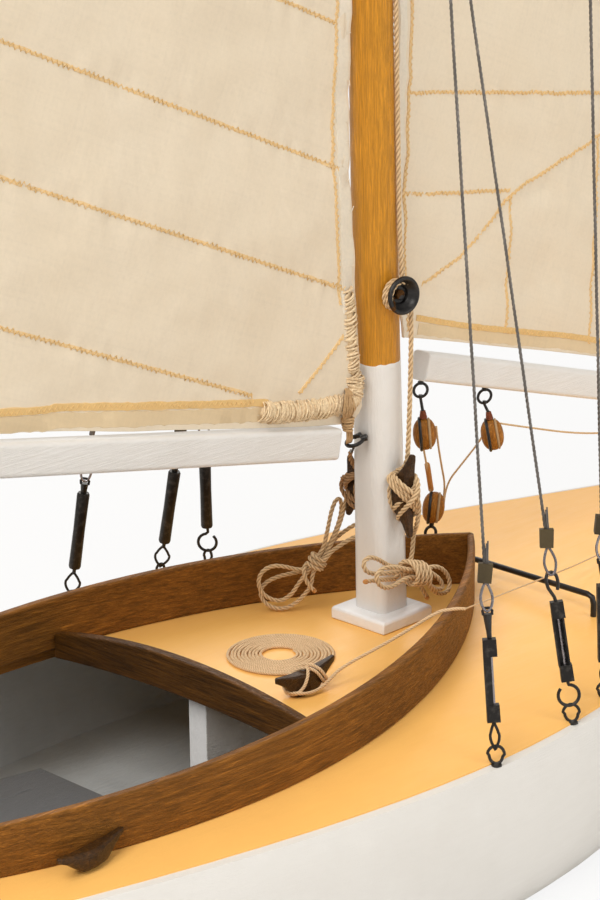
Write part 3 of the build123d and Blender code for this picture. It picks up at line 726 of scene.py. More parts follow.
class DAYSAILER_OT_spars(bpy.types.Operator):
    """Mast, foot, plate, spreaders and booms"""

    bl_idname = "daysailer.spars"
    bl_label = "Spars"

    def execute(self, context):
        dress("mast", "mast")
        for node in ("spreader_port", "spreader_starboard"):
            skin(node, "mast", 0.25)
        bm = copy_of("mast_foot")
        edge = []
        for angle in angles(56):
            out = Vector((math.cos(angle), math.sin(angle), 0.0))
            high = PAINT_EDGE + 0.4 + 1.0 * noise.noise(out * 0.9) + 0.5 * noise.noise(out * 3.1)
            edge.append([bm.verts.new((Vector((mast_x(z), 0.0, z)) + out * (r - (z - PAINT_EDGE) * 0.0044)) * MM)
                         for z, r in ((139.6, 6.95), (139.6, 7.07), (high, 7.06), (high + 0.1, 6.95))])
        bridge(bm, edge, closed=True)
        skin("mast_foot", "mast foot", 0.3, bm=bm)
        # the base plate gets the spar paint made brighter and bluer: painted light against the deck's yellow bounce
        # light
        skin("mast_base_plate", "bright paint", 0.4)
        for node, body, way, limit, drawn, rise, width, segments in (
            ("jib_boom", "jib_gear", -1, 0.018, 2.6, JIB_RISE, 0.4, 2),
            ("main_boom", "main", 1, -0.020, 5.4, BOOM_RISE, 0.5, 3),
        ):
            bm = copy_of(node)
            for vert in bm.verts:
                if (vert.co.x - limit) * way > 0:
                    vert.co += Vector((-way * drawn, 0.0, way * drawn * rise)) * MM
            skin(node, "spar", width, segments, body=body, bm=bm)
        return {"FINISHED"}


class DAYSAILER_OT_fittings(bpy.types.Operator):
    """Traveller and bow fitting in black metal"""

    bl_idname = "daysailer.fittings"
    bl_label = "Black metal"

    def execute(self, context):
        dress("bow_fitting", "black")
        shape = Shaper("black")
        half = [(44.6, 55.6), (44.6, 60.6), (44.0, 62.6), (42.2, 63.2)]
        rod = [(48.0, -y, z) for y, z in half] + [(48.0, 0.0, 63.3)] + [(48.0, y, z) for y, z in reversed(half)]
        bar(shape.bm, rod, 0.95, 10)
        shape.piece("traveller_rod", "boat", "black_metal", "traveller", smooth=60)
        return {"FINISHED"}


# Cordage
def rope_mesh(bm, points, dia, pitch=None, strands=3, sides=6, step=0.34):
    """Lays a rope along control points (mm); returns the line it follows (metres)."""
    line = route(points, step)
    laid(bm, line, dia * MM, (pitch or dia * 3.6) * MM, strands, sides)
    return line


def wraps(mid, axis, across, away, start, first, rise, turns, radius, per_turn=14):
    """Control points of a seizing's turns round an axis (mm)."""
    out = []
    for k in range(int(per_turn * turns) + 1):
        angle = math.radians(start + 360.0 * k / per_turn)
        out.append(Vector(mid) + Vector(axis) * (first + rise * k / per_turn)
                   + Vector(across) * (radius[0] * math.cos(angle)) + Vector(away) * (radius[1] * math.sin(angle)))
    return out


PORT_HANK = [
    (-2.0, 12.6, 96.2), (-2.7, 13.0, 91.0), (-4.4, 14.6, 83.6), (-6.4, 16.6, 77.3), (-7.2, 17.4, 75.5),
    (-8.5, 18.8, 72.7), (-9.8, 20.1, 69.9), (-10.2, 20.1, 65.9), (-12.6, 22.2, 61.8), (-15.3, 25.0, 58.8),
    (-18.2, 28.2, 58.3), (-20.5, 31.1, 60.7), (-20.5, 32.6, 64.0), (-18.5, 31.7, 66.5), (-15.4, 29.4, 68.1),
    (-11.7, 26.3, 69.0), (-9.1, 23.9, 69.7), (-7.9, 21.0, 70.9), (-7.5, 19.8, 72.7), (-6.1, 18.4, 75.5),
    (-4.0, 16.5, 81.5), (-2.6, 15.2, 86.8), (-2.2, 14.7, 90.5), (-2.6, 14.7, 93.6), (-4.0, 15.3, 93.9),
    (-5.4, 16.0, 90.4), (-6.5, 16.6, 84.3), (-7.3, 17.5, 78.5), (-8.0, 18.3, 76.3), (-9.3, 19.6, 73.5),
    (-10.7, 21.0, 70.7), (-13.1, 23.2, 66.3), (-14.4, 24.6, 63.1), (-16.7, 26.9, 60.8), (-19.2, 29.4, 61.6),
    (-21.3, 31.5, 64.2), (-21.8, 31.9, 68.3), (-20.6, 30.6, 71.4), (-18.2, 28.2, 72.8), (-14.9, 26.0, 71.9),
    (-11.7, 23.8, 70.5), (-9.4, 21.7, 71.2), (-8.3, 20.6, 73.5), (-7.0, 19.3, 76.3), (-5.1, 19.0, 77.4),
    (-3.3, 18.3, 78.8), (-1.4, 16.4, 81.2), (0.0, 14.0, 83.6), (1.7, 11.7, 85.3), (3.1, 10.1, 85.7),
    (3.8, 9.0, 84.0), (2.2, 9.7, 82.3), (-1.2, 12.2, 80.9), (-4.3, 14.1, 78.7), (-6.8, 14.9, 77.6),
]
PORT_HANK_END = [(-11.9, 21.4, 72.5), (-13.1, 20.6, 70.7), (-12.6, 19.5, 67.2), (-10.8, 18.0, 64.8)]
FOOT_HANK = [
    (4.6, -8.9, 86.1), (4.8, -8.4, 82.2), (5.2, -7.7, 78.7), (4.3, -7.4, 76.4), (1.7, -7.5, 75.9),
    (-1.6, -7.6, 76.7), (-6.4, -8.2, 78.7), (-11.6, -9.0, 82.4), (-16.2, -9.6, 84.4), (-19.1, -10.0, 83.3),
    (-18.5, -10.4, 80.5), (-14.2, -10.7, 78.5), (-7.9, -10.9, 77.4), (-2.6, -10.9, 76.6), (1.4, -10.9, 75.4),
    (5.5, -10.9, 74.1), (10.4, -10.9, 74.6), (15.5, -10.8, 72.8), (19.2, -10.9, 68.3), (18.8, -11.1, 64.4),
    (14.0, -11.6, 64.4), (9.3, -12.3, 67.4), (5.5, -13.3, 72.5), (1.4, -13.3, 74.0), (-2.6, -13.3, 75.2),
    (-6.3, -13.5, 74.9), (-9.6, -13.7, 74.3), (-13.5, -13.8, 74.6), (-17.1, -13.9, 77.2), (-17.3, -13.8, 80.3),
    (-13.7, -13.7, 81.4), (-8.1, -13.5, 79.9), (-2.6, -13.3, 77.5), (1.4, -13.3, 76.3), (5.5, -13.3, 75.0),
    (7.4, -13.9, 74.0), (11.2, -14.0, 70.8), (12.7, -13.9, 67.7), (9.9, -14.1, 67.8), (5.6, -14.9, 70.5),
]
FOOT_HANK_END = [(-3.1, -9.0, 73.6), (-8.3, -10.0, 75.1), (-14.9, -11.4, 77.1), (-20.8, -12.4, 78.4)]
FOOT_HANK_SPARE = [(6.2, -10.0, 70.1), (8.3, -9.6, 66.7), (10.0, -9.8, 64.1)]

STARBOARD_BELAY = [
    (1.4, -8.7, 109.4), (1.0, -6.9, 106.5), (-1.2, -5.8, 105.6), (-3.5, -6.0, 104.0), (-4.0, -6.4, 100.7),
    (-3.2, -6.5, 96.9), (-0.5, -6.5, 93.6), (2.2, -8.1, 92.8), (3.4, -10.7, 95.2), (3.2, -12.0, 98.8),
    (2.9, -12.0, 102.5), (3.1, -10.4, 105.0), (2.2, -7.5, 106.1), (-0.2, -6.2, 106.6), (-2.8, -6.4, 106.6),
    (-4.6, -8.0, 105.8), (-4.1, -11.0, 103.5), (-2.3, -13.0, 100.7), (0.3, -13.6, 97.9), (2.5, -12.4, 94.9),
    (2.7, -9.7, 92.4), (0.4, -8.0, 91.7), (-2.1, -8.3, 92.5), (-3.1, -10.4, 94.9), (-3.2, -13.9, 98.7),
    (-1.8, -15.3, 101.1), (0.1, -14.8, 103.4), (1.6, -12.9, 105.4), (2.6, -10.0, 106.5), (1.0, -7.2, 107.2),
    (-1.7, -5.9, 106.9), (-4.0, -6.4, 106.0), (-5.3, -7.9, 104.9), (-4.8, -10.4, 102.5), (-3.2, -11.9, 100.2),
    (-0.5, -12.8, 97.3), (2.5, -12.1, 94.1), (2.7, -8.9, 92.2), (0.2, -7.1, 93.5), (-2.8, -7.3, 95.6),
    (-3.6, -9.4, 97.4), (-2.5, -11.5, 99.6), (-0.6, -12.9, 101.8), (1.1, -13.2, 103.9), (2.3, -11.4, 105.8),
    (2.0, -7.7, 105.9), (-0.9, -6.6, 106.2), (-3.7, -8.1, 106.5), (-4.3, -11.4, 105.0), (-3.3, -13.6, 103.3),
    (-1.2, -14.5, 101.2), (1.3, -14.0, 98.2), (2.3, -13.1, 94.4), (2.6, -12.0, 90.3), (4.0, -9.9, 87.7),
    (4.6, -8.9, 86.1),
]
DECK_BELAY = [
    (-53.2, -18.0, 59.0), (-51.6, -20.4, 59.3), (-51.0, -23.2, 59.2), (-52.0, -25.6, 59.4), (-54.0, -26.4, 61.5),
    (-55.6, -25.9, 64.0), (-57.0, -23.8, 65.0), (-58.8, -21.3, 64.6), (-60.6, -19.9, 62.6), (-62.4, -19.9, 60.4),
    (-64.0, -21.4, 59.0), (-64.4, -23.4, 58.9), (-63.4, -25.4, 59.0), (-61.2, -26.4, 60.8), (-59.2, -26.0, 63.6),
    (-57.6, -24.4, 65.3), (-56.0, -21.6, 65.0), (-54.0, -19.9, 62.6), (-52.4, -20.0, 60.4), (-50.6, -21.8, 59.6),
    (-50.4, -24.0, 59.8), (-51.6, -26.2, 60.4), (-53.2, -26.8, 62.4), (-54.8, -26.2, 64.8), (-56.2, -24.0, 65.9),
    (-57.8, -21.4, 65.4), (-59.6, -19.5, 63.2), (-61.6, -19.4, 61.2), (-64.2, -20.8, 60.0), (-65.0, -23.2, 59.7),
    (-63.8, -25.8, 59.6), (-61.0, -26.9, 59.0), (-57.5, -27.2, 58.8), (-54.6, -27.2, 59.3), (-51.5, -27.3, 60.8),
    (-47.0, -27.8, 63.4), (-32.0, -33.0, 68.4), (-17.8, -38.0, 74.6), (-15.2, -39.4, 75.0), (-11.4, -41.6, 75.0),
    (-9.6, -42.0, 74.4),
]


def coil_points():
    """Control points of the flat coil on deck, worked from its middle, sizes and turns."""
    middle, outer, inner, turns, per_turn, start = (-44.0, 0.5), 16.2, 5.2, 10.2, 18, -67.7
    out = [(-52.4, -19.4, 59.9), (-49.0, -18.6, 58.9), (-44.0, -17.6, 58.4)]
    for k in range(int(turns * per_turn) + 1):
        f = k / (turns * per_turn)
        radius = outer + (inner - outer) * f + 0.10 * math.sin(k * 0.83)
        angle = math.radians(start + 360.0 * k / per_turn)
        x, y = middle[0] + radius * math.cos(angle), middle[1] + radius * math.sin(angle)
        out.append((x, y, deck_top(y) + 0.58))
    return out


def halyard_points():
    """The halyard: from the masthead down the mast, round the fairlead's neck, to the cleat."""
    out = [(-25.6, -0.4, 797.0), (-24.6, -0.9, 806.0), (-21.0, -3.0, 812.5), (-17.4, -4.2, 806.0)]
    for z in (780.0, 700.0, 620.0, 540.0, 460.0, 380.0, 300.0):
        reach = mast_radius(z) + 0.84
        out.append((mast_x(z) + reach * 0.53, -reach * 0.848, z))
    out += [(-1.05, -6.26, 247.8), (-0.6, -6.9, 205.0), (-0.3, -7.2, 180.0), (0.5, -7.3, 171.0)]
    turns, per_turn, around = 3, 14, (-3.4, 162.4)
    for k in range(turns * per_turn + 1):
        angle = math.radians(6.0 - 360.0 * k / per_turn)
        out.append((around[0] + 4.2 * math.cos(angle), -7.3 - 1.22 * k / per_turn, around[1] + 4.2 * math.sin(angle)))
    out += [(0.8, -10.9, 156.5), (0.9, -10.9, 148.0), (0.9, -10.6, 132.0), (0.9, -10.0, 118.0), (1.0, -9.6, 112.0)]
    return out + STARBOARD_BELAY


def port_belay():
    """The tack downhaul on the port cleat: the starboard turns, mirrored and drawn in to its size."""
    out = [(-8.6, 4.6, 112.6), (-8.0, 6.6, 110.4)]
    for x, y, z in STARBOARD_BELAY[2:-3]:
        out.append((-1.6 + x * 0.86, 6.7 - (y + 6.7) * 0.84, 98.5 + (z - 100.0) * 0.80))
    return out + [(-0.4, 11.6, 97.2), (-2.0, 12.6, 96.2)]


class DAYSAILER_OT_cordage(bpy.types.Operator):
    """Hanks, flat coil, halyard and its belays"""

    bl_idname = "daysailer.cordage"
    bl_label = "Cordage"

    def execute(self, context):
        away, across = (0.714, 0.701, 0.0), (0.584, -0.595, -0.553)
        port = PORT_HANK + wraps((-8.4, 19.7, 73.1), (-0.387, 0.395, -0.833), across, away, 60, -2.3, 1.52, 2.34,
                                 (2.56, -2.56)) + PORT_HANK_END
        foot = FOOT_HANK + wraps((4.83, -12.3, 74.05), (-0.956, 0.0, 0.294), (0.0, 0.0, -1.0), (0.0, -1.0, 0.0), 55,
                                 0.0, 7.07 / 3.58, 3.58, (3.7, 3.6)) + FOOT_HANK_END
        for name, points, dia, node, spare in (
            ("port_hank", port, 1.4, "port_halyard_hank", None),
            ("foot_hank", foot, 1.5, "mast_foot_hank", FOOT_HANK_SPARE),
        ):
            rope, ends = Shaper("cord"), Shaper("cord")
            line = rope_mesh(rope.bm, points, dia)
            tips = [line[-4:]]
            if spare:
                rope_mesh(ends.bm, spare, dia)
                tips.append(mm(spare[-2:]))
            ends.use("cut end")
            for tip in tips:
                ahead = (tip[-1] - tip[0]).normalized()
                tube(ends.bm, [tip[-1] - ahead * 0.9 * MM, tip[-1] - ahead * 0.5 * MM, tip[-1] + ahead * 0.25 * MM],
                     [dia * 0.49 * MM, dia * 0.53 * MM, dia * 0.44 * MM], 10)
            tails = ends.piece(name + "_ends", "boat", "cordage")
            piece = rope.piece(name, "boat", "cordage", node)
        dia = sizes_of().coil_cord / MM
        rope = Shaper("coil cord")
        line = rope_mesh(rope.bm, coil_points(), dia, dia * 2.2, 3, 5, 0.40)
        piece = rope.piece("flat_coil", "boat", "cordage", "deck_coil")
        bow_line = [(-9.6, -42.0, 74.4), (38.0, -29.3, 66.8), (87.2, -16.3, 59.0), (216.0, -2.5, 59.4)]
        for name, key, ropes in (
            ("deck_cleat_turns", "coil cord", ((DECK_BELAY, dia, dia * 2.6, 3, 6, 0.3),
                                               (bow_line, 0.6, None, 3, 5, 0.6))),
            ("halyard", "cord", ((halyard_points(), sizes_of().halyard / MM, None, 3, 6, 0.42),)),
            ("tack_downhaul", "brown cord", ((port_belay(), 1.5, None, 3, 6, 0.36),)),
        ):
            rope = Shaper(key)
            for given in ropes:
                rope_mesh(rope.bm, *given)
            rope.piece(name, "boat", "cordage")
        return {"FINISHED"}


# Cleats and the fairlead
def cleat(bm, middle, along, out, length, width, height, seed, rise=0.2):
    """A hand-carved cleat on its foot at middle: horns along one way, standing out the other."""
    along, out = Vector(along).normalized(), Vector(out).normalized()
    side = along.cross(out)
    rings = []
    for t in (-1.0, -0.96, -0.85, -0.7, -0.52, -0.34, -0.2, 0.0, 0.2, 0.34, 0.52, 0.7, 0.85, 0.96, 1.0):
        a = abs(t)
        half = width / 2 * (1 - 0.76 * a**1.1) * (0.6 if a == 1.0 else 1.0)
        top = height * (1 - rise + rise * a**1.5) - (0.5 if a == 1.0 else 0.0)
        lift = min(max((a - 0.28) / 0.5, 0.0), 1.0)
        low = height * (0.56 * lift * lift * (3 - 2 * lift) + 0.22 * max(a - 0.7, 0.0) / 0.3)
        cut = 0.34 * half
        ring = []
        for s, h in ((-half, low + cut), (-half, top - cut), (-half + cut, top), (half - cut, top),
                     (half, top - cut), (half, low + cut), (half - cut, low), (-half + cut, low)):
            wander = 0.16 * noise.noise(Vector((t * 3.1, s, h + seed)))
            ring.append(bm.verts.new((Vector(middle) + along * (t * length / 2 + wander) + side * (s + wander)
                                      + out * max(h + wander, -0.2)) * MM))
        rings.append(ring)
    bridge(bm, rings)


class DAYSAILER_OT_cleats(bpy.types.Operator):
    """Carved wooden cleats on mast, deck and coaming"""

    bl_idname = "daysailer.cleats"
    bl_label = "Cleats"

    def execute(self, context):
        for node, middle, along, out, length, width, height, seed in (
            ("mast_cleat_starboard", (-0.6, -6.4, 100.2), (0.04, 0.0, 1.0), (0.0, -1.0, 0.0), 26.0, 6.2, 6.9, 1.0),
            ("mast_cleat_port", (-1.6, 6.4, 98.5), (0.04, 0.0, 1.0), (0.0, 1.0, 0.0), 19.0, 5.4, 6.4, 2.0),
            ("deck_cleat", (-58.0, -23.2, 57.4), (1.0, 0.03, 0.0), (0.0, -0.05, 1.0), 24.5, 4.9, 8.3, 3.0),
            ("coaming_cleat_starboard", (-171.0, -58.8, 55.6), (1.0, 0.10, 0.0), (0.0, 0.0, 1.0), 24.0, 5.0, 6.4, 4.0),
            ("coaming_cleat_port", (-171.0, 58.8, 55.6), (1.0, -0.10, 0.0), (0.0, 0.0, 1.0), 24.0, 5.0, 6.4, 5.0),
        ):
            shape = Shaper("cleat")
            cleat(shape.bm, middle, along, out, length, width, height, seed)
            bevelled(shape.piece(node + "_carved", "boat", "varnished_wood", node, smooth=50), 0.25, 2, 20)
        return {"FINISHED"}


class DAYSAILER_OT_fairlead(bpy.types.Operator):
    """Black flanged cup on the mast with the wooden peg inside"""

    bl_idname = "daysailer.fairlead"
    bl_label = "Fairlead"

    def execute(self, context):
        shape = Shaper("black")
        middle, axis = (-2.7, -6.2, 162.5), (-0.15, -0.985, 0.03)
        cup = [(0.0, 0.0), (3.3, 0.0), (3.3, 0.7), (3.1, 1.1), (3.0, 4.6), (3.6, 5.0), (5.3, 5.2), (5.75, 5.5),
               (5.8, 6.0), (5.5, 6.45), (5.0, 6.55), (4.6, 6.3), (4.1, 5.6), (3.5, 5.0), (2.75, 4.4), (2.5, 3.4),
               (0.0, 3.3)]
        peg = [(0.0, 3.2), (1.5, 3.2), (1.55, 4.3), (1.3, 4.6), (0.0, 4.65)]
        lathe(shape.bm, cup, middle, axis, 48)
        # the peg takes the dark rail varnish, which is partly painted shade
        lathe(shape.use("rail"), peg, middle, axis, 28)
        bevelled(shape.piece("fairlead_cup", "boat", "black_metal", "halyard_fairlead", smooth=45), 0.1, 2, 30)
        return {"FINISHED"}


# Standing rigging
SHROUDS = {"aft": (-49.7, 88.3, 618.0), "lower": (-13.6, 85.6, 426.0), "cap": (5.3, 82.8, 443.0)}
SPREADER_TIP = (-10.0, 72.5)
SPREADER_HEAD = (4.3, 804.0)


def screw_piece(name, foot, way, side, hooked):
    """A turnbuckle: deck eye, link, bent strip with its two lugs, hook, thimble, crimp and wire tail."""
    across = (PICTURE_RIGHT - way * PICTURE_RIGHT.dot(way)).normalized()
    deep = way.cross(across)
    port = side > 0

    def at(x, y, z):
        return foot + across * x + deep * y + way * z

    def run(*steps):
        return [at(*step) for step in steps]

    def box(x, y, z, sizes, taper=1.0):
        slab(shape.bm, at(x, y, z), (across, deep, way), sizes, taper)

    shape = Shaper("black")
    grip = 1.3 if port else 2.35
    bar(shape.bm, [at(grip * math.sin(a) * (1.0 if math.cos(a) > 0 else 0.8), 0.2 * math.sin(2 * a),
                      0.4 + 2.5 * math.cos(a)) for a in angles(24)], 0.46, closed=True)
    bar(shape.bm, run((0, 0, -1.9), (0, 0, -4.6)), 0.6)
    lathe(shape.bm, [(0, -2.9), (1.5, -2.9), (1.5, -2.3), (0.9, -2.0), (0, -2.0)], foot, way, 16)
    if hooked:
        turn = [math.radians(8 + 310 * k / 26) for k in range(27)]
        ring = [at((-3.0 if port else 3.0) * math.sin(a), 0.3 * math.sin(a), 5.6 + 3.0 * math.cos(a)) for a in turn]
        bar(shape.bm, run((0.2, 0, 10.5), (0.3, 0, 9.2)) + ring, 0.5)
    else:
        for turn in (1, -1):
            link = [at(turn * (2.3 if port else 1.25) * math.sin(math.pi * f) * (1.0 if f < 0.6 else 0.9),
                       0.35 * turn * math.cos(math.pi * f), 1.8 + 7.6 * f) for f in [k / 14 for k in range(15)]]
            bar(shape.bm, link, 0.42, 7)
        bar(shape.bm, run((0, 0, 8.8), (0, 0, 11.0)), 0.6)
    lean = 0.7 if hooked else -0.9
    shape.use("dull steel")
    if port:
        lathe(shape.bm, [(0.0, 11.0), (1.75, 11.0), (1.95, 11.6), (1.85, 24.0), (2.0, 36.2), (1.7, 36.8), (0.0, 36.8)],
              foot, way, 20)
    else:
        box(0.15 + lean * 0.2, 0, 12.2, (3.7, 3.2, 4.8), 0.96)
        box(0.15 + lean * 0.1, 0, 30.6, (3.8, 3.2, 4.8), 0.96)
        if hooked:
            box(0, 1.1, 21.4, (3.3, 0.9, 14.4))
            box(-1.45, 0, 21.4, (0.5, 2.4, 14.4))
            box(1.45, 0, 21.4, (0.5, 2.4, 14.4))
        else:
            box(lean, 0, 21.4, (1.9, 2.6, 14.4))
    shape.use("bright steel")
    bar(shape.bm, run((0.2, -0.2, 13.0), (0.2, -0.2, 29.5)), 0.55, lobes=(2, 0.12, 1.1 * MM))
    shape.use("black")
    if hooked:
        stem = run((0.3, 0, 32.0), (-0.2, 0, 34.4), (-1.5, 0, 37.0), (-1.9, 0, 39.4), (-1.2, 0.3, 41.2),
                   (0.2, 0.3, 41.5), (1.3, 0.2, 40.2), (1.5, 0, 38.2), (1.0, 0, 36.2))
        bar(shape.bm, evenly(stem, 0.6), 0.5)
    else:
        bar(shape.bm, run((0.2, 0, 32.0), (0.1, 0, 35.0), (0, 0, 38.0), (0, 0, 40.0)), (0.62, 0.75, 1.05, 1.3), 10)
        bar(shape.bm, run((1.2, 0, 39.6), (1.3, 0, 40.8), (0.5, 0, 41.6), (-0.6, 0, 41.6), (-1.3, 0, 40.8),
                          (-1.1, 0, 39.6)), 0.42, 7)
    shape.use("bright steel")
    bar(shape.bm, [at(1.65 * math.sin(a) * (1 - 0.42 * max(math.cos(a), 0)), 0.25 * math.sin(a + 1),
                      44.6 + 3.9 * math.cos(a)) for a in angles(26)], 0.40, 7, closed=True)
    turned = (across * math.cos(0.14 * side) + way * math.sin(0.14 * side)).normalized()
    slab(shape.use("crimp"), at(0, 0, 51.3), (turned, deep, deep.cross(turned)), (3.9, 2.8, 5.3), 0.95)
    shape.use("wire")
    for k in range(5):
        reach, angle = 0.20 + 0.06 * k, 1.3 + 1.25 * k
        x, y = reach * math.cos(angle) + 0.45, reach * math.sin(angle)
        bar(shape.bm, run((x, y, 53.0), (x * 1.15, y * 1.3, 56.0), (x * 1.5, y * 1.9, 58.0 + 0.5 * k)), 0.24, 5)
    bevelled(shape.piece(name + "_made", "boat", "fitting_metal", name, smooth=35), 0.22, 2, 40)


class DAYSAILER_OT_rigging(bpy.types.Operator):
    """Twisted shrouds and forestay with their turnbuckles"""

    bl_idname = "daysailer.rigging"
    bl_label = "Standing rigging"

    def execute(self, context):
        def stranded(shape, points):
            for a, b in zip(points, points[1:]):
                laid(shape.bm, evenly(mm((a, b)), 0.9 * MM), sizes_of().wire, 4.6 * MM, 3, 5)

        for port, side in (("port", 1), ("starboard", -1)):
            for kind, (x, y, top) in SHROUDS.items():
                foot = Vector((x, side * y, deck_top(y) + 2.2))
                if kind == "cap":
                    tip = Vector((SPREADER_TIP[0], side * SPREADER_TIP[1], top))
                    path = [tip, Vector((-RAKE * 746, side * SPREADER_HEAD[0], SPREADER_HEAD[1]))]
                else:
                    path = [Vector((mast_x(top), side * (mast_radius(top) + 0.2), top))]
                way = (path[0] - foot).normalized()
                shape = Shaper("wire")
                stranded(shape, [foot + way * 52.0] + path)
                if kind == "cap":
                    bar(shape.use("black"), [tip + Vector((0, -side * 3.0, 0)), tip + Vector((0, side * 1.0, 0))],
                        1.5, 12)
                shape.piece("wire_%s_%s" % (kind, port), "boat", "wire", "shroud_%s_%s" % (kind, port), smooth=60)
                screw_piece("turnbuckle_%s_%s" % (kind, port), foot, way, side,
                            kind == ("cap" if side > 0 else "lower"))
        shape = Shaper("wire")
        stranded(shape, [(239.0, 0.0, 64.1), (-9.07, 0.0, 618.0)])
        shape.piece("stay_wire", "boat", "wire", "forestay", smooth=60)
        return {"FINISHED"}


# Blocks
BLOCK_STEPS = (-1.0, -0.96, -0.85, -0.68, -0.52, -0.44, -0.43, -0.30, -0.29, -0.1, 0.1, 0.30, 0.31, 0.52, 0.53, 0.7,
               0.86, 0.96, 1.0)


def wooden_block(shape, middle, up, across):
    """An egg-shaped shell with its strop round the outside and a slot for the sheave, whose faces are black as painted
    shade.
    """
    middle, up, across = Vector(middle), Vector(up).normalized(), Vector(across).normalized()
    deep = up.cross(across).normalized()
    half, tall, thick, sides, strop_groove, slot = 3.6, 5.3, 3.1, 28, 0.90, 0.80
    bm = shape.use("block")
    rings, marks = [], []
    for t in BLOCK_STEPS:
        scale = (1 - abs(t) ** 2.3) ** (1 / 2.3) if abs(t) < 1 else 0.05
        sunk = strop_groove if -0.435 < t < -0.295 else (slot if 0.305 < t < 0.525 else 1.0)
        rings.append([bm.verts.new((middle + across * t * half + up * (tall * scale * sunk * math.cos(a)) + deep * (
            thick * scale * sunk * (1.0 + 0.06 * math.cos(a)) * math.sin(a))) * MM) for a in angles(sides)])
        marks.append(sunk)
    faces = bridge(bm, rings)
    shape.close()
    # painted shade: the faces of the empty sheave slot take the black metal finish
    if "black" not in shape.keys:
        shape.keys.append("black")
    for i, face in enumerate(faces):
        if slot in marks[i // sides:i // sides + 2]:
            face.material_index = shape.keys.index("black")
    hoop(shape.use("black"), middle + across * (-0.365 * half), up, deep, tall - 0.1, thick - 0.05, 0.5, 30, 7)
    hoop(shape.use("plain cord"), middle + across * (0.42 * half), up, deep, tall - 0.5, thick - 0.4, 0.42, 30, 7)


def hung_block(name, node, hang, middle, lean):
    """Ring under the boom, stem, seizing and block."""
    shape = Shaper("black")
    hang, middle, upright = Vector(hang), Vector(middle), Vector((0, 0, 1))
    up = (hang - middle).normalized()
    across = Vector((0.69, -0.70, 0.12 + lean))
    across = (across - up * across.dot(up)).normalized()
    ring = hang - upright * 2.2
    hoop(shape.bm, ring, across, upright, 2.1, 2.2, 0.45, 22, 8)
    bar(shape.bm, [hang + upright * 0.6, hang - upright * 0.3], 0.9, 10)
    top = middle + up * 5.4
    bar(shape.bm, [ring - upright * 1.4, ring - upright * 2.6, top + up * 2.0, top], (0.65, 0.45, 0.5, 0.6))
    bm = shape.use("seizing")
    for k in range(5):
        reach = 0.95 - 0.09 * k
        hoop(bm, top + up * (0.2 + 0.5 * k), across, up.cross(across), reach, reach, 0.3, 12, 6)
    wooden_block(shape, middle, up, across)
    shape.piece(name, "jib_gear", "varnished_wood", node, smooth=40)


class DAYSAILER_OT_blocks(bpy.types.Operator):
    """Wooden blocks of the jib sheet, and the sheet itself"""

    bl_idname = "daysailer.blocks"
    bl_label = "Blocks and jib sheet"

    def execute(self, context):
        hung_block("boom_block_aft", "jib_block_aft", (17.4, 0.0, 129.2), (19.9, 0.5, 112.4), 0.0)
        hung_block("boom_block_forward", "jib_block_forward", (47.4, 0.0, 120.7), (50.2, -1.0, 105.6), 0.1)
        shape = Shaper("black")
        middle = Vector((48.0, 21.5, 76.6))
        up = Vector((0.10, -0.05, 1.0)).normalized()
        across = Vector((0.66, -0.75, -0.05))
        foot = middle - up * 6.0
        hoop(shape.bm, foot - up * 2.6, across, up, 1.7, 2.1, 0.5, 20, 8)
        bar(shape.bm, [foot - up * 0.6, foot + up * 1.5], 0.8)
        wooden_block(shape, middle, up, across)
        shape.piece("traveller_block_made", "boat", "varnished_wood", "traveller_block", smooth=40)
        sheet = Shaper("plain cord")
        for line in (
            [(22.0, -2.4, 115.0), (22.3, -2.6, 110.6), (37.0, 8.6, 96.5), (52.0, 19.9, 82.9), (50.6, 19.8, 78.0)],
            [(18.6, 0.4, 112.0), (18.7, 0.1, 108.9), (33.6, 11.6, 96.0), (48.6, 23.4, 82.6), (48.4, 22.6, 77.0)],
            [(51.0, 19.6, 78.0), (52.2, 20.2, 83.6), (49.8, 11.0, 93.5), (47.3, 1.2, 104.0), (49.0, -0.9, 110.2),
             (53.2, -2.2, 108.6), (106.5, 0.0, 91.6), (150.0, 0.0, 88.0), (216.0, 0.0, 80.6)],
        ):
            rope_mesh(sheet.bm, line, 0.75, 2.2, 3, 5, 0.5)
        run = evenly(mm([(33.9, 11.8, 96.6), (38.6, 15.4, 92.0), (44.5, 20.0, 86.2), (48.6, 23.1, 82.0)]), 0.6 * MM)
        tube(sheet.use("cut end"), run, [0.9 * MM] * (len(run) - 1) + [0.6 * MM], 9)
        piece = sheet.piece("jib_sheet", None, "cordage", smooth=60)
        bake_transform(piece)
        return {"FINISHED"}


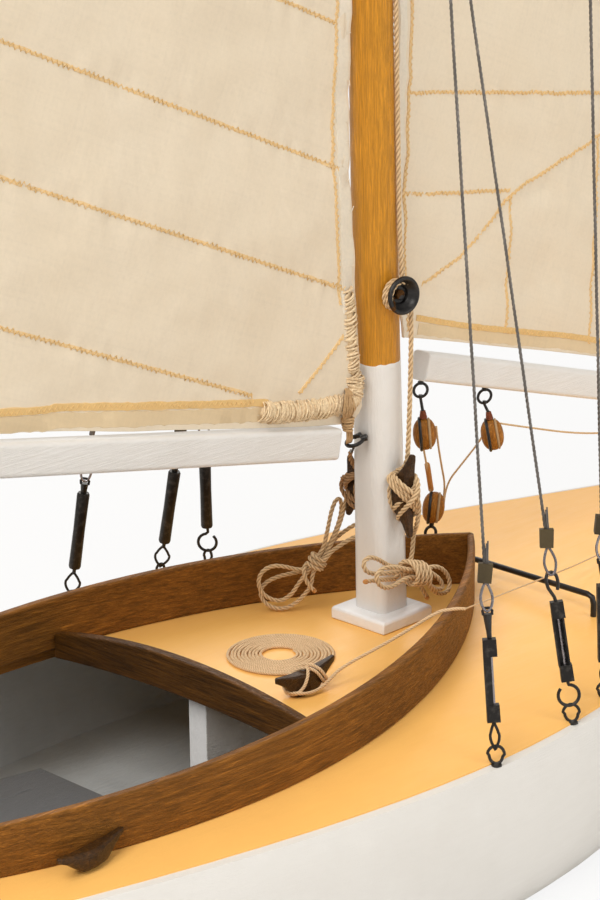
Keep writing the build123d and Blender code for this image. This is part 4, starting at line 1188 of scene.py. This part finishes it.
# Gooseneck
class DAYSAILER_OT_gooseneck(bpy.types.Operator):
    """Forged eye on the mast and the lashing of the sail's tack"""

    bl_idname = "daysailer.gooseneck"
    bl_label = "Gooseneck and tack lashing"

    def execute(self, context):
        shape = Shaper("black")
        across, deep = Vector((0.667, -0.679, 0.306)).normalized(), Vector((0.69, 0.68, 0.25)).normalized()
        middle = Vector((-12.4, -0.5, 117.8))
        hoop(shape.bm, middle, across, deep, 2.6, 2.5, 0.62, 26, 10)
        stud = middle + across * 2.5
        bar(shape.bm, [stud - across * 0.6, stud + across * 1.3], 1.05, 12)
        for shift in (0.0, 1.1):
            bar(shape.bm, [middle + deep * 2.2 + across * shift, (-8.2, 1.3, 118.5)], 0.7, 10)
        bar(shape.bm, [stud + across * 0.6, (-8.2, -1.0, 118.4)], 0.75, 10)
        hook = [middle - deep * 2.2 - across * 0.3, (-13.6, -1.0, 115.4), (-11.6, 2.0, 113.4), (-8.8, 4.4, 112.8)]
        tube(shape.bm, route(hook, 0.6), 0.36 * MM, 7)
        shape.piece("gooseneck_eye_forged", "boat", "black_metal", "gooseneck_eye", smooth=45)

        lash = Shaper("lashing")
        for k in range(8):
            f, wave = k / 7, 0.25 * math.sin(k * 2.4)
            line = [(-17.3 + 1.1 * f, -0.6, 135.6 - 0.3 * f), (-17.9 + 1.8 * f, -2.6, 135.2 - 0.3 * f),
                    (-20.3 + 4.2 * f + wave, -3.9, 132.3 - 0.9 * f), (-20.6 + 4.2 * f - wave, -3.9, 129.6 - 0.8 * f),
                    (-20.1 + 3.6 * f, -3.0, 127.6 - 0.7 * f), (-17.9 + 2.4 * f, -1.6, 125.6 - 0.5 * f),
                    (-17.4 + 2.0 * f, -1.5, 123.0 - 0.4 * f)]
            tube(lash.bm, route(line, 0.5), 0.27 * MM, 6)
        for k, reach in enumerate((1.75, 1.7, 1.55, 1.4, 1.2)):
            level = Vector((-16.7 + 0.05 * k, -1.6, 126.0 - 0.92 * k))
            tilt = Vector((0.12 * math.sin(k * 2.1), 0.1 * (k % 2), 1.0)).normalized()
            side = (PICTURE_RIGHT - tilt * tilt.dot(PICTURE_RIGHT)).normalized()
            hoop(lash.bm, level, side, tilt.cross(side).normalized(), reach, reach * 0.85, 0.42, 18, 6)
        for k in range(4):
            f = k / 3
            line = [(-17.0 + 1.9 * f, -1.5, 123.4 - 0.4 * f), (-16.5 + 2.1 * f, -1.3, 121.4 - 0.4 * f),
                    (-16.2 + 2.0 * f, -1.0, 118.6 - 0.3 * f), (-15.2 + 1.6 * f, 0.3, 117.2),
                    (-14.4 + 1.4 * f, 0.8, 118.4)]
            tube(lash.bm, route(line, 0.5), 0.30 * MM, 6)
        piece = lash.piece("tack_lashing", None, "cordage", smooth=60)
        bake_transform(piece)
        return {"FINISHED"}


# Sails
def smooth_line(points, t):
    """Point at t (0 to 1 by length) on a Catmull-Rom line through (x, z) points."""
    run = [0.0]
    for a, b in zip(points, points[1:]):
        run.append(run[-1] + math.dist(a, b))
    want = t * run[-1]
    i = min(max(k for k, r in enumerate(run) if r <= want + 1e-9), len(points) - 2)
    f = (want - run[i]) / (run[i + 1] - run[i])
    knots = (points[max(i - 1, 0)], points[i], points[i + 1], points[min(i + 2, len(points) - 1)])
    return tuple(0.5 * (2 * b + (c - a) * f + (2 * a - 5 * b + 4 * c - d) * f**2 + (3 * b - a - 3 * c + d) * f**3)
                 for a, b, c, d in zip(*knots))


def stepped(points, step):
    """Points about a step apart on the smooth line through (x, z) points."""
    count = max(int(sum(math.dist(a, b) for a, b in zip(points, points[1:])) / step), 2)
    return [smooth_line(points, k / count) for k in range(count + 1)]


def sideways(line, k):
    """Unit vector square to a line of (x, z) points at one of them."""
    a, b = line[max(k - 1, 0)], line[min(k + 1, len(line) - 1)]
    run = math.dist(a, b)
    return -(b[1] - a[1]) / run, (b[0] - a[0]) / run


class Sail:
    """A sail's cut (mm in the boat's middle plane) and how it sets across that plane."""

    def __init__(self, name, body, foot, head, fore, aft, seams, seed, puckers):
        self.name, self.body, self.seams, self.seed, self.puckers = name, body, seams, seed, puckers
        self.foot, self.head, self.fore, self.aft = foot, head, fore, aft

    def at(self, u, v):
        """Point of the cloth, u from the fore edge aft, v from the foot up."""
        bottom, top = smooth_line(self.foot, u), smooth_line(self.head, u)
        front, back = smooth_line(self.fore, v), smooth_line(self.aft, v)
        corners = [self.foot[0], self.foot[-1], self.head[0], self.head[-1]]
        return tuple((1 - v) * bottom[k] + v * top[k] + (1 - u) * front[k] + u * back[k]
                     - ((1 - u) * (1 - v) * corners[0][k] + u * (1 - v) * corners[1][k]
                        + (1 - u) * v * corners[2][k] + u * v * corners[3][k]) for k in (0, 1))

    def across(self, x, z):
        """How far the cloth stands to port of the middle plane at a point."""
        s = self.seed
        y = 2.2 * noise.noise(Vector((x / 95, z / 120, s)))
        y += 1.1 * noise.noise(Vector((x / 34 + z / 160, z / 26, s + 4)))
        y += 0.60 * noise.noise(Vector((x / 13, z / 9 + x / 40, s + 8)))
        y += 0.22 * noise.noise(Vector((x / 4.5, z / 4.0, s + 12)))
        for slope, level, pitch in self.puckers:
            off = (z - slope * x - level) / math.hypot(1, slope)
            if pitch:
                off -= pitch * round(off / pitch)
            if abs(off) < 9:
                fold = noise.noise(Vector((x / 3.2, level / 50 + off / 9, s + 20)))
                y += (0.42 + 0.75 * fold) * math.exp(-(off / 3.4) ** 2)
        return y

    def place(self, x, z, side=0, lift=0.0):
        return Vector((x, self.across(x, z) + side * lift, z)) * MM

    def wander(self, x, z):
        return noise.noise(Vector((x / 4, z / 4, self.seed + 30)))

    def cloth(self, columns, rows, grading, thick=0.45):
        bm = bmesh.new()
        grid = []
        for j in range(rows + 1):
            v = (j / rows) ** grading
            grid.append([bm.verts.new(self.place(*self.at((i / columns) ** 1.25, v))) for i in range(columns + 1)])
        for a, b in zip(grid, grid[1:]):
            for i in range(columns):
                bm.faces.new((a[i], a[i + 1], b[i + 1], b[i]))
        piece = piece_of(self.name + "_cloth", bm, self.body, "sailcloth", self.name, mats=("sail",), smooth=60)
        wall = piece.modifiers.new("Cloth thickness", "SOLIDIFY")
        wall.thickness = thick * MM
        wall.offset = 0.0
        return piece

    def outline_area(self):
        steps = [k / 40 for k in range(41)]
        edge = [self.at(f, 0) for f in steps] + [self.at(1, f) for f in steps]
        edge += [self.at(1 - f, 1) for f in steps] + [self.at(0, 1 - f) for f in steps]
        return abs(sum(a[0] * b[1] - b[0] * a[1] for a, b in zip(edge, edge[1:] + edge[:1]))) / 2 * 1e-6

    def band(self, bm, points, width, side, lift, step=1.6, wobble=0.0):
        """A closed flat strip sewn to one side of the cloth along (x, z) points."""
        line = stepped(points, step)
        rows = []
        for k, (x, z) in enumerate(line):
            nx, nz = sideways(line, k)
            shift = wobble * self.wander(x, z)
            half = width / 2 * (1 + 0.25 * noise.noise(Vector((x / 2, z / 2, self.seed + 31))))
            rows.append([bm.verts.new(self.place(x + nx * (w + shift), z + nz * (w + shift), side, up))
                         for w, up in ((-half, 0.0), (half, 0.0), (half * 0.85, lift), (-half * 0.85, lift))])
        bridge(bm, rows)

    def seam_line(self, bm, points, side, lift, wobble=0.0):
        """An edge chain on one side of the cloth, for the stitches to follow."""
        last = None
        for x, z in stepped(points, 1.0):
            z += wobble * self.wander(x, z)
            here = bm.verts.new(self.place(x, z, side, lift))
            if last:
                bm.edges.new((last, here))
            last = here

    def tapes(self, name, points, width, key, lift=0.40):
        """A strip of cloth sewn to both sides of the sail."""
        bm = bmesh.new()
        for side in (-1, 1):
            self.band(bm, points, width, side, lift, 1.3)
        return piece_of(name, bm, self.body, "sailcloth", mats=(key,), smooth=40)

    def padding(self, name, points, radii):
        """The rolled cloth under the overcast stitches."""
        shape = Shaper("overcast")
        count, sides, rings = 60, 14, []
        line = [smooth_line(points, k / count) for k in range(count + 1)]
        for k, (x, z) in enumerate(line):
            nx, nz = sideways(line, k)
            f = k / count
            swell = (0.35 + 0.65 * min(f / 0.06, 1.0)) * (0.35 + 0.65 * min((1 - f) / 0.06, 1.0))
            ring = []
            for angle in angles(sides):
                reach = swell * (1 + 0.14 * noise.noise(Vector((x / 2.1, z / 2.1, angle))))
                w, d = radii[0] * reach * math.cos(angle), radii[1] * reach * math.sin(angle)
                ring.append(shape.bm.verts.new(Vector((x + nx * w, self.across(x, z) + d, z + nz * w)) * MM))
            rings.append(ring)
        bridge(shape.bm, rings)
        return shape.piece(name, self.body, "sailcloth", smooth=60)

    def overcast(self, name, points, step, wide, deep, thread, slant, seed):
        """Overcast stitches over a cloth edge through (x, z) points, as a piece of its own."""
        lines = bmesh.new()
        self.seam_line(lines, points, 0, 0.0)
        mesh = grown(name, lines, "Overcast stitches", {
            "Step": step * MM, "Wide": wide * MM, "Deep": deep * MM, "Thread": thread * MM, "Slant": slant,
            "Material": finish("overcast"), "Seed": seed})
        for face in mesh.polygons:
            face.use_smooth = True
        return finish_piece(name, mesh, self.body, "sailcloth")

    def whiskers(self, name, spots, seed):
        """Loose ends of thread standing off the sail's edge at (x, z) spots."""
        shape = Shaper("tape")
        for k, (x, z) in enumerate(spots):
            start = Vector((x, self.across(x, z) - 0.4, z))
            line = []
            for i in range(4):
                roam = noise.noise(Vector((k * 1.7, seed, i * 0.9)))
                along, out, rise = 0.75 * i * (0.5 + 0.4 * roam), -0.2 - 0.3 * i * abs(roam), 1.3 * roam * i
                line.append(start + Vector((along, out, rise)))
            tube(shape.bm, route(line, 0.4), 0.11 * MM, 5)
        return shape.piece(name, self.body, "sailcloth", smooth=60)

    def sewn(self, hems, seam_width):
        """Seam beds, hems and both sides' stitches."""
        sizes = sizes_of()
        beds, lines = bmesh.new(), bmesh.new()
        for side in (-1, 1):
            for seam in self.seams:
                self.band(beds, seam, seam_width, side, 0.36, wobble=0.5)
                self.seam_line(lines, seam, side, 0.42, 0.5)
            for hem, width in hems:
                self.band(beds, hem, width, side, 0.40, wobble=0.4)
                self.seam_line(lines, hem, side, 0.46, 0.4)
        bed = piece_of(self.name + "_seams", beds, self.body, "sailcloth", mats=("seam",), smooth=40)
        name = self.name + "_stitches"
        mesh = grown(name, lines, "Zigzag stitches", {"Stitch": sizes.stitch, "Width": sizes.seam,
                                                      "Thread": sizes.thread, "Material": finish("thread"), "Seed": 5})
        return [bed, finish_piece(name, mesh, self.body, "sailcloth")]


def geometry_node(tree):
    """Node maker of a Geometry Nodes tree: kind and inputs in, first output back."""
    def make(kind, inputs=None, **props):
        return put(tree, kind, inputs, **props).outputs[0]

    return make


def zigzag_nodes(tree, take):
    """Sewing thread that zigzags along the lines given to it."""
    make = geometry_node(tree)
    line = make("GeometryNodeMeshToCurve", {"Mesh": take["Geometry"]})
    even = make("GeometryNodeResampleCurve", {"Curve": line, "Length": take["Stitch"]}, mode="LENGTH")
    over = vectors(tree, "CROSS_PRODUCT", make("GeometryNodeInputTangent"), (0.0, 1.0, 0.0))
    index = make("GeometryNodeInputIndex")
    turn = maths(tree, "SUBTRACT", maths(tree, "MODULO", index, 2.0), 0.5)
    jitter = put(tree, "FunctionNodeRandomValue", {"Min": 0.75, "Max": 1.25, "ID": index, "Seed": take["Seed"]},
                 data_type="FLOAT").outputs[1]
    reach = times(tree, times(tree, turn, take["Width"]), jitter)
    shift = make("ShaderNodeVectorMath", {0: over, "Scale": reach}, operation="SCALE")
    moved = make("GeometryNodeSetPosition", {"Geometry": even, "Offset": shift})
    section = make("GeometryNodeCurvePrimitiveCircle", {"Resolution": 4, "Radius": take["Thread"]}, mode="RADIUS")
    return make("GeometryNodeCurveToMesh", {"Curve": moved, "Profile Curve": section, "Fill Caps": True})


def overcast_nodes(tree, take):
    """Loops of thread thrown over an edge, one after the other along the lines given to it."""
    make = geometry_node(tree)
    line = make("GeometryNodeMeshToCurve", {"Mesh": take["Geometry"]})
    spots = put(tree, "GeometryNodeCurveToPoints", {"Curve": line, "Length": take["Step"]}, mode="LENGTH").outputs
    index = make("GeometryNodeInputIndex")
    loop = make("GeometryNodeCurvePrimitiveCircle", {"Resolution": 16, "Radius": 1.0}, mode="RADIUS")
    size = make("ShaderNodeCombineXYZ", {0: take["Wide"], 1: take["Deep"], 2: 1.0})
    shaped = make("GeometryNodeTransform", {"Geometry": loop, "Scale": size})
    section = make("GeometryNodeCurvePrimitiveCircle", {"Resolution": 6, "Radius": take["Thread"]}, mode="RADIUS")
    thread = make("GeometryNodeCurveToMesh", {"Curve": shaped, "Profile Curve": section})
    faced = make("FunctionNodeAlignRotationToVector", {"Vector": spots["Tangent"]}, axis="Z")
    level = make("FunctionNodeAlignRotationToVector", {"Rotation": faced, "Vector": (0.0, 1.0, 0.0)}, axis="Y",
                 pivot_axis="Z")
    low = make("ShaderNodeCombineXYZ", {0: -0.28, 1: maths(tree, "SUBTRACT", take["Slant"], 0.34), 2: -0.25})
    high = make("ShaderNodeCombineXYZ", {0: 0.28, 1: plus(tree, take["Slant"], 0.34), 2: 0.25})
    swing = make("FunctionNodeRandomValue", {0: low, 1: high, "ID": index, "Seed": take["Seed"]},
                 data_type="FLOAT_VECTOR")
    spin = make("FunctionNodeEulerToRotation", {0: swing})
    turned = make("FunctionNodeRotateRotation", {"Rotation": level, "Rotate By": spin}, rotation_space="LOCAL")
    grow = make("FunctionNodeRandomValue", {0: (0.84, 0.80, 0.9), 1: (1.10, 1.20, 1.1), "ID": index,
                                            "Seed": plus(tree, take["Seed"], 7.0)}, data_type="FLOAT_VECTOR")
    return make("GeometryNodeInstanceOnPoints", {"Points": spots["Points"], "Instance": thread, "Rotation": turned,
                                                 "Scale": grow})


THREADS = {"Zigzag stitches": (zigzag_nodes, ("Stitch", "Width", "Thread")),
           "Overcast stitches": (overcast_nodes, ("Step", "Wide", "Deep", "Thread", "Slant"))}


def thread_tree(name):
    """Geometry Nodes tree of one kind of stitching, with its named inputs."""
    build, lengths = THREADS[name]
    tree = bpy.data.node_groups.new(name, "GeometryNodeTree")
    for label, kind in (("Geometry", "Geometry"), *((label, "Float") for label in lengths), ("Material", "Material"),
                        ("Seed", "Int")):
        tree.interface.new_socket(name=label, in_out="INPUT", socket_type="NodeSocket" + kind)
    tree.interface.new_socket(name="Geometry", in_out="OUTPUT", socket_type="NodeSocketGeometry")
    take = put(tree, "NodeGroupInput").outputs
    real = put(tree, "GeometryNodeRealizeInstances", {"Geometry": build(tree, take)})
    dyed = put(tree, "GeometryNodeSetMaterial", {"Geometry": real.outputs[0], "Material": take["Material"]})
    put(tree, "NodeGroupOutput", {"Geometry": dyed.outputs[0]})
    return tree


def grown(name, lines, kind, values):
    """Runs one kind of stitching over a bmesh of edges and returns the plain mesh."""
    tree = bpy.data.node_groups.get(kind) or thread_tree(kind)
    seed_mesh = bpy.data.meshes.new("Lines")
    lines.to_mesh(seed_mesh)
    lines.free()
    holder = bpy.data.objects.new("Lines", seed_mesh)
    bpy.context.scene.collection.objects.link(holder)
    grow = holder.modifiers.new("Growth", "NODES")
    grow.node_group = tree
    for item in tree.interface.items_tree:
        if item.in_out == "INPUT" and item.name in values:
            grow[item.identifier] = values[item.name]
    mesh = bpy.data.meshes.new_from_object(holder.evaluated_get(bpy.context.evaluated_depsgraph_get()))
    mesh.name = name
    bpy.data.objects.remove(holder)
    bpy.data.meshes.remove(seed_mesh)
    return mesh


MAIN_FOOT_HEM = [(-55.3, 139.2), (-93.7, 146.8), (-125.9, 153.3), (-146.2, 156.5), (-276.0, 180.5)]
JIB_FOOT_HEM = [(13.8, 150.7), (36.8, 143.7), (69.1, 135.0), (105.1, 124.8), (218.0, 87.5)]
LUFF_LEVELS = (300.0, 420.0, 560.0, 690.0)


def main_cut():
    """The mainsail's cut, with seams square to the leech as the photograph shows."""
    foot = [(-10.2, 128.4), (-13.0, 125.2), (-22.0, 124.9), (-94.0, 139.7), (-146.5, 150.9), MAIN_CLEW]
    head = [(-25.5, 796.0), MAIN_PEAK]
    fore = [(-10.2, 128.4), (-11.5, 140.0), (-12.3, 161.0), (-13.9, 191.0), (-13.4, 220.0), (-12.9, 249.0)]
    fore += [(luff_x(z) + 0.4, z) for z in (*LUFF_LEVELS, 770.0)] + [(-25.5, 796.0)]
    aft = [MAIN_CLEW, (-225.0, 322.0), (-156.5, 492.0), (-88.0, 660.0), MAIN_PEAK]
    levels = [167.3, 202.6, 243.9] + [243.9 + 38.8 * k for k in range(1, 14)]
    seams = []
    for level in levels:
        start = luff_x(level) - 5.4
        reach = -22.0
        while reach >= leech_x(level + MAIN_SEAM_SLOPE * (-22 - reach)) + 4.0:
            reach -= 1.0
        if start - reach > 6:
            seams.append([(x, level + MAIN_SEAM_SLOPE * (-22 - x)) for x in (start, (start + reach) / 2, reach)])
    seams.append([(-55.3, 141.3), (-100.0, 160.0), (-145.0, 178.8), (-262.0, 227.7)])
    puckers = [(-MAIN_SEAM_SLOPE, level - MAIN_SEAM_SLOPE * 22, 0.0) for level in [127.4] + levels]
    return Sail("mainsail", "main", foot, head, fore, aft, seams, 3.7, puckers)


def jib_cut():
    """The jib's cut: square seams above a mitre, upright ones below it."""
    fore = [(226.0, 80.4), (stay_x(92.0) - 1.3, 92.0)]
    fore += [(stay_x(z) - 1.3, z) for z in (180.0, 280.0, 380.0, 480.0, 560.0, 594.0)]
    aft = [JIB_CLEW, (4.7, 172.0), (4.6, 201.0), (5.5, 221.0), (7.0, 245.6), (8.6, 290.0), (8.7, 340.0),
           (7.3, 400.0), (4.1, 470.0), (-0.6, 540.0), JIB_PEAK]
    foot = [(226.0, 80.4), (170.0, 99.5), (105.3, 119.4), (55.0, 133.3), (23.4, 141.9), JIB_CLEW]
    head = [fore[-1], JIB_PEAK]

    def seam_z(level, x):
        return level - JIB_SEAM_SLOPE * (x - 14.2)

    seams = []
    for k in range(-1, 12):
        level = 218.8 + 30.4 * k
        share = (level - JIB_CLEW[1]) / (JIB_PEAK[1] - JIB_CLEW[1])
        start = smooth_line(aft, min(max(share, 0), 1))[0] + 4.6
        reach = start
        while reach < stay_x(seam_z(level, reach)) - 5.5:
            reach += 1.0
        if k == -1:
            reach = 56.8
        elif seam_z(level, reach) < MITRE_LEVEL + MITRE_SLOPE * reach:
            reach = (level + JIB_SEAM_SLOPE * 14.2 - MITRE_LEVEL) / (MITRE_SLOPE + JIB_SEAM_SLOPE)
        seams.append([(x, seam_z(level, x)) for x in (start, (start + reach) / 2, reach)])
    seams.append([(17.3, 160.3), (25.9, 163.3), (35.5, 167.2), (46.1, 173.8), (56.8, 180.8), (72.6, 185.9),
                  (101.3, 193.1), (135.0, 201.9), (166.5, 210.4)])
    for x in (57.4, 101.0, 144.0):
        top = 166.0 + MITRE_SLOPE * x
        seams.append([(x, top - 1.0), (x - 1.6, (top + 132.0) / 2), (x - 3.2, 139.0 - JIB_RISE * (x - 54.0))])
    puckers = [(-JIB_SEAM_SLOPE, seam_z(218.8, 0), 30.4), (0.39, 153.6, 0.0)]
    return Sail("jib", "jib_gear", foot, head, fore, aft, seams, 11.3, puckers)


class DAYSAILER_OT_sails(bpy.types.Operator):
    """Cotton sails with their seams, hems and stitches"""

    bl_idname = "daysailer.sails"
    bl_label = "Sails"

    def execute(self, context):
        main = main_cut()
        cloth = main.cloth(150, 210, 1.35)
        leech = [main.at(1.0, k / 8) for k in range(8)]
        upper = (*LUFF_LEVELS, 775.0)
        hems = [(MAIN_FOOT_HEM, 2.4),
                ([(-19.3, 161.0), (-20.7, 204.0), (-18.7, 249.0)] + [(luff_x(z) - 4.3, z) for z in upper], 1.0),
                ([(x + 4.6, z - 1.8) for x, z in leech], 1.0),
                ([(-37.1, 138.2), (-27.6, 144.8), (-18.1, 151.5)], 1.2)]
        luff = [(-15.8, 158.0), (-16.6, 191.0), (-16.5, 220.0), (-15.8, 249.0)]
        luff += [(luff_x(z) - 2.0, z) for z in upper]
        foot = [(-49.0, 134.4), (-55.3, 135.6), (-93.7, 143.2), (-125.9, 149.7), (-146.2, 153.1), (-276.0, 177.6)]
        roll = [(-52.5, 136.2), (-47.6, 134.6), (-41.5, 133.4), (-35.3, 132.4), (-27.0, 131.5), (-19.0, 130.9),
                (-15.3, 131.0), (-13.6, 132.5), (-13.5, 135.4), (-14.0, 138.6)]
        rise = [(-13.9, 138.6), (-14.6, 143.2), (-15.0, 149.4), (-15.2, 155.5), (-15.4, 160.7), (-16.1, 164.7)]
        spots = [(-14.9, 166.5), (-15.0, 172.0), (-15.2, 181.0), (-15.2, 188.5), (-15.4, 197.0), (-15.3, 208.0),
                 (-15.2, 214.0), (-14.8, 226.0), (-14.6, 239.0)]
        extra = main.sewn(hems, 1.0) + [
            main.tapes("mainsail_luff_tape", luff, 4.9, "tape"),
            main.tapes("mainsail_foot_tabling", foot, 4.8, "tabling", 0.34),
            main.tapes("mainsail_foot_line", [(-50.0, 138.0)] + MAIN_FOOT_HEM, 2.3, "gold", 0.5),
            main.padding("tack_roll", roll, (2.7, 2.3)),
            main.overcast("tack_overcast", roll, 0.36, 3.15, 2.4, 0.25, 0.16, 3),
            main.padding("luff_roll", rise, (1.5, 1.0)),
            main.overcast("luff_overcast", rise, 0.95, 2.3, 1.5, 0.34, -0.30, 8),
            main.whiskers("luff_whiskers", spots, 2.0)]
        main.outline_area()

        jib = jib_cut()
        cloth = jib.cloth(120, 190, 1.2)
        hems = [(JIB_FOOT_HEM, 1.6),
                ([(9.8, 147.5), (8.5, 172.0), (9.3, 195.0), (10.7, 219.8), (12.7, 245.8), (14.4, 290.0),
                  (14.4, 340.0), (12.8, 400.0), (9.5, 470.0), (4.6, 540.0), (1.4, 575.0)], 1.3),
                ([(stay_x(z) - 6.0, z) for z in (98.0, 180.0, 280.0, 380.0, 480.0, 560.0)], 1.0)]
        leech = [(x + 2.0, z) for x, z in jib.aft[:-1]]
        foot = [(14.5, 147.2), (36.8, 141.0), (69.1, 132.2), (105.1, 122.0), (216.0, 85.3)]
        extra = jib.sewn(hems, 1.1) + [
            jib.tapes("jib_leech_tape", leech, 3.5, "tape"),
            jib.tapes("jib_foot_tabling", foot, 4.0, "tabling", 0.34),
            jib.tapes("jib_foot_line", JIB_FOOT_HEM, 2.0, "gold", 0.5)]
        jib.outline_area()
        return {"FINISHED"}


# Camera, floor and light
EYE, LENS = (-568.82543, -523.84742, 358.27395), 107.603
YAW, PITCH, ROLL = 0.77616, 0.30825, -0.00888
FLOOR_REACH = 6.0


class DAYSAILER_OT_stage(bpy.types.Operator):
    """Camera at the photograph's angle, pale floor at the waterline and soft studio light"""

    bl_idname = "daysailer.stage"
    bl_label = "Camera, floor and light"

    def execute(self, context):
        scene = context.scene
        eye = bpy.data.cameras.new("Camera")
        eye.lens = LENS
        eye.sensor_width = 36.0
        eye.clip_start = 0.01
        camera = bpy.data.objects.new("Camera", eye)
        scene.collection.objects.link(camera)
        ahead = Vector((math.cos(YAW) * math.cos(PITCH), math.sin(YAW) * math.cos(PITCH), -math.sin(PITCH)))
        right = Vector((math.sin(YAW), -math.cos(YAW), 0.0))
        up = right.cross(ahead)
        right, up = right * math.cos(ROLL) + up * math.sin(ROLL), up * math.cos(ROLL) - right * math.sin(ROLL)
        turn = Matrix((right, up, -ahead)).transposed().to_4x4()
        camera.matrix_world = Matrix.Translation(Vector(EYE) * MM) @ turn
        scene.camera = camera

        world = bpy.data.worlds.new("Studio")
        world.use_nodes = True
        scene.world = world
        tree = world.node_tree
        ground = tree.nodes["Background"]
        ground.inputs["Color"].default_value = (1.0, 0.96, 0.90, 1.0)
        ground.inputs["Strength"].default_value = 0.47
        white = put(tree, "ShaderNodeBackground", {"Color": (1.0, 1.0, 1.0), "Strength": 1.0})
        rays = put(tree, "ShaderNodeLightPath").outputs
        seen = maths(tree, "MAXIMUM", rays["Is Camera Ray"], rays["Is Transmission Ray"])
        blend = put(tree, "ShaderNodeMixShader", {0: seen, 1: ground.outputs[0], 2: white.outputs[0]})
        tree.links.new(blend.outputs[0], tree.nodes["World Output"].inputs["Surface"])

        corners = [(x * FLOOR_REACH, y * FLOOR_REACH, 0) for x, y in ((-1, -1), (1, -1), (1, 1), (-1, 1))]
        floor_mesh = bpy.data.meshes.new("Floor")
        floor_mesh.from_pydata(corners, [], [(0, 1, 2, 3)])
        made, tree, shader, _ = material("Floor")
        wire_up(tree, shader, (0.86, 0.86, 0.86), 0.9, plain={"Specular IOR Level": 0.1})
        glow = put(tree, "ShaderNodeEmission", {"Color": (1.0, 1.0, 1.0), "Strength": 1.0})
        seen = times(tree, put(tree, "ShaderNodeLightPath").outputs["Is Camera Ray"], 0.8)
        both = put(tree, "ShaderNodeMixShader", {0: seen, 1: shader.outputs[0], 2: glow.outputs[0]})
        tree.links.new(both.outputs[0], tree.nodes["Material Output"].inputs["Surface"])
        floor_mesh.materials.append(made)
        floor = bpy.data.objects.new("Floor", floor_mesh)
        scene.collection.objects.link(floor)

        target = Vector((-0.02, 0.0, 0.10))
        for name, place, size, power in (
            ("Key", (-1.35, -0.35, 1.6), 1.1, 28.0),
            ("Fill", (0.5, -1.9, 1.0), 1.4, 12.0),
            ("Back", (1.2, 1.4, 1.3), 1.2, 13.0),
        ):
            lamp = bpy.data.lights.new(name, "AREA")
            lamp.shape = "SQUARE"
            lamp.size = size
            lamp.energy = power
            lamp.color = (1.0, 0.965, 0.91)
            lit = bpy.data.objects.new(name, lamp)
            scene.collection.objects.link(lit)
            lit.location = place
            lit.rotation_euler = (Vector(place) - target).to_track_quat("Z", "Y").to_euler()
        scene.view_settings.view_transform = "Standard"
        return {"FINISHED"}


class DAYSAILER_PT_panel(bpy.types.Panel):
    """Buttons for the building steps, with the finish colours and the sizes of thread, cord and wire"""

    bl_label = "Model daysailer"
    bl_idname = "DAYSAILER_PT_panel"
    bl_space_type = "VIEW_3D"
    bl_region_type = "UI"
    bl_category = "Daysailer"

    def draw(self, context):
        for step in STEPS:
            self.layout.operator(step.bl_idname)
        for group in (context.scene.daysailer_finish, context.scene.daysailer_sizes):
            for key in group.bl_rna.properties.keys():
                if key not in ("rna_type", "name"):
                    self.layout.prop(group, key)


STEPS = (DAYSAILER_OT_stage, DAYSAILER_OT_hull, DAYSAILER_OT_spars, DAYSAILER_OT_cordage,
         DAYSAILER_OT_cleats, DAYSAILER_OT_fairlead, DAYSAILER_OT_fittings, DAYSAILER_OT_rigging,
         DAYSAILER_OT_blocks, DAYSAILER_OT_gooseneck, DAYSAILER_OT_sails)
CLASSES = (DAYSAILER_PG_finish, DAYSAILER_PG_sizes, *STEPS, DAYSAILER_PT_panel)


def register():
    for item in CLASSES:
        bpy.utils.register_class(item)
    bpy.types.Scene.daysailer_finish = bpy.props.PointerProperty(type=DAYSAILER_PG_finish)
    bpy.types.Scene.daysailer_sizes = bpy.props.PointerProperty(type=DAYSAILER_PG_sizes)


def unregister():
    del bpy.types.Scene.daysailer_sizes
    del bpy.types.Scene.daysailer_finish
    for item in reversed(CLASSES):
        bpy.utils.unregister_class(item)


def main():
    register()
    for step in STEPS:
        group, name = step.bl_idname.split(".")
        getattr(getattr(bpy.ops, group), name)()
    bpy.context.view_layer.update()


if __name__ == "__main__":
    main()
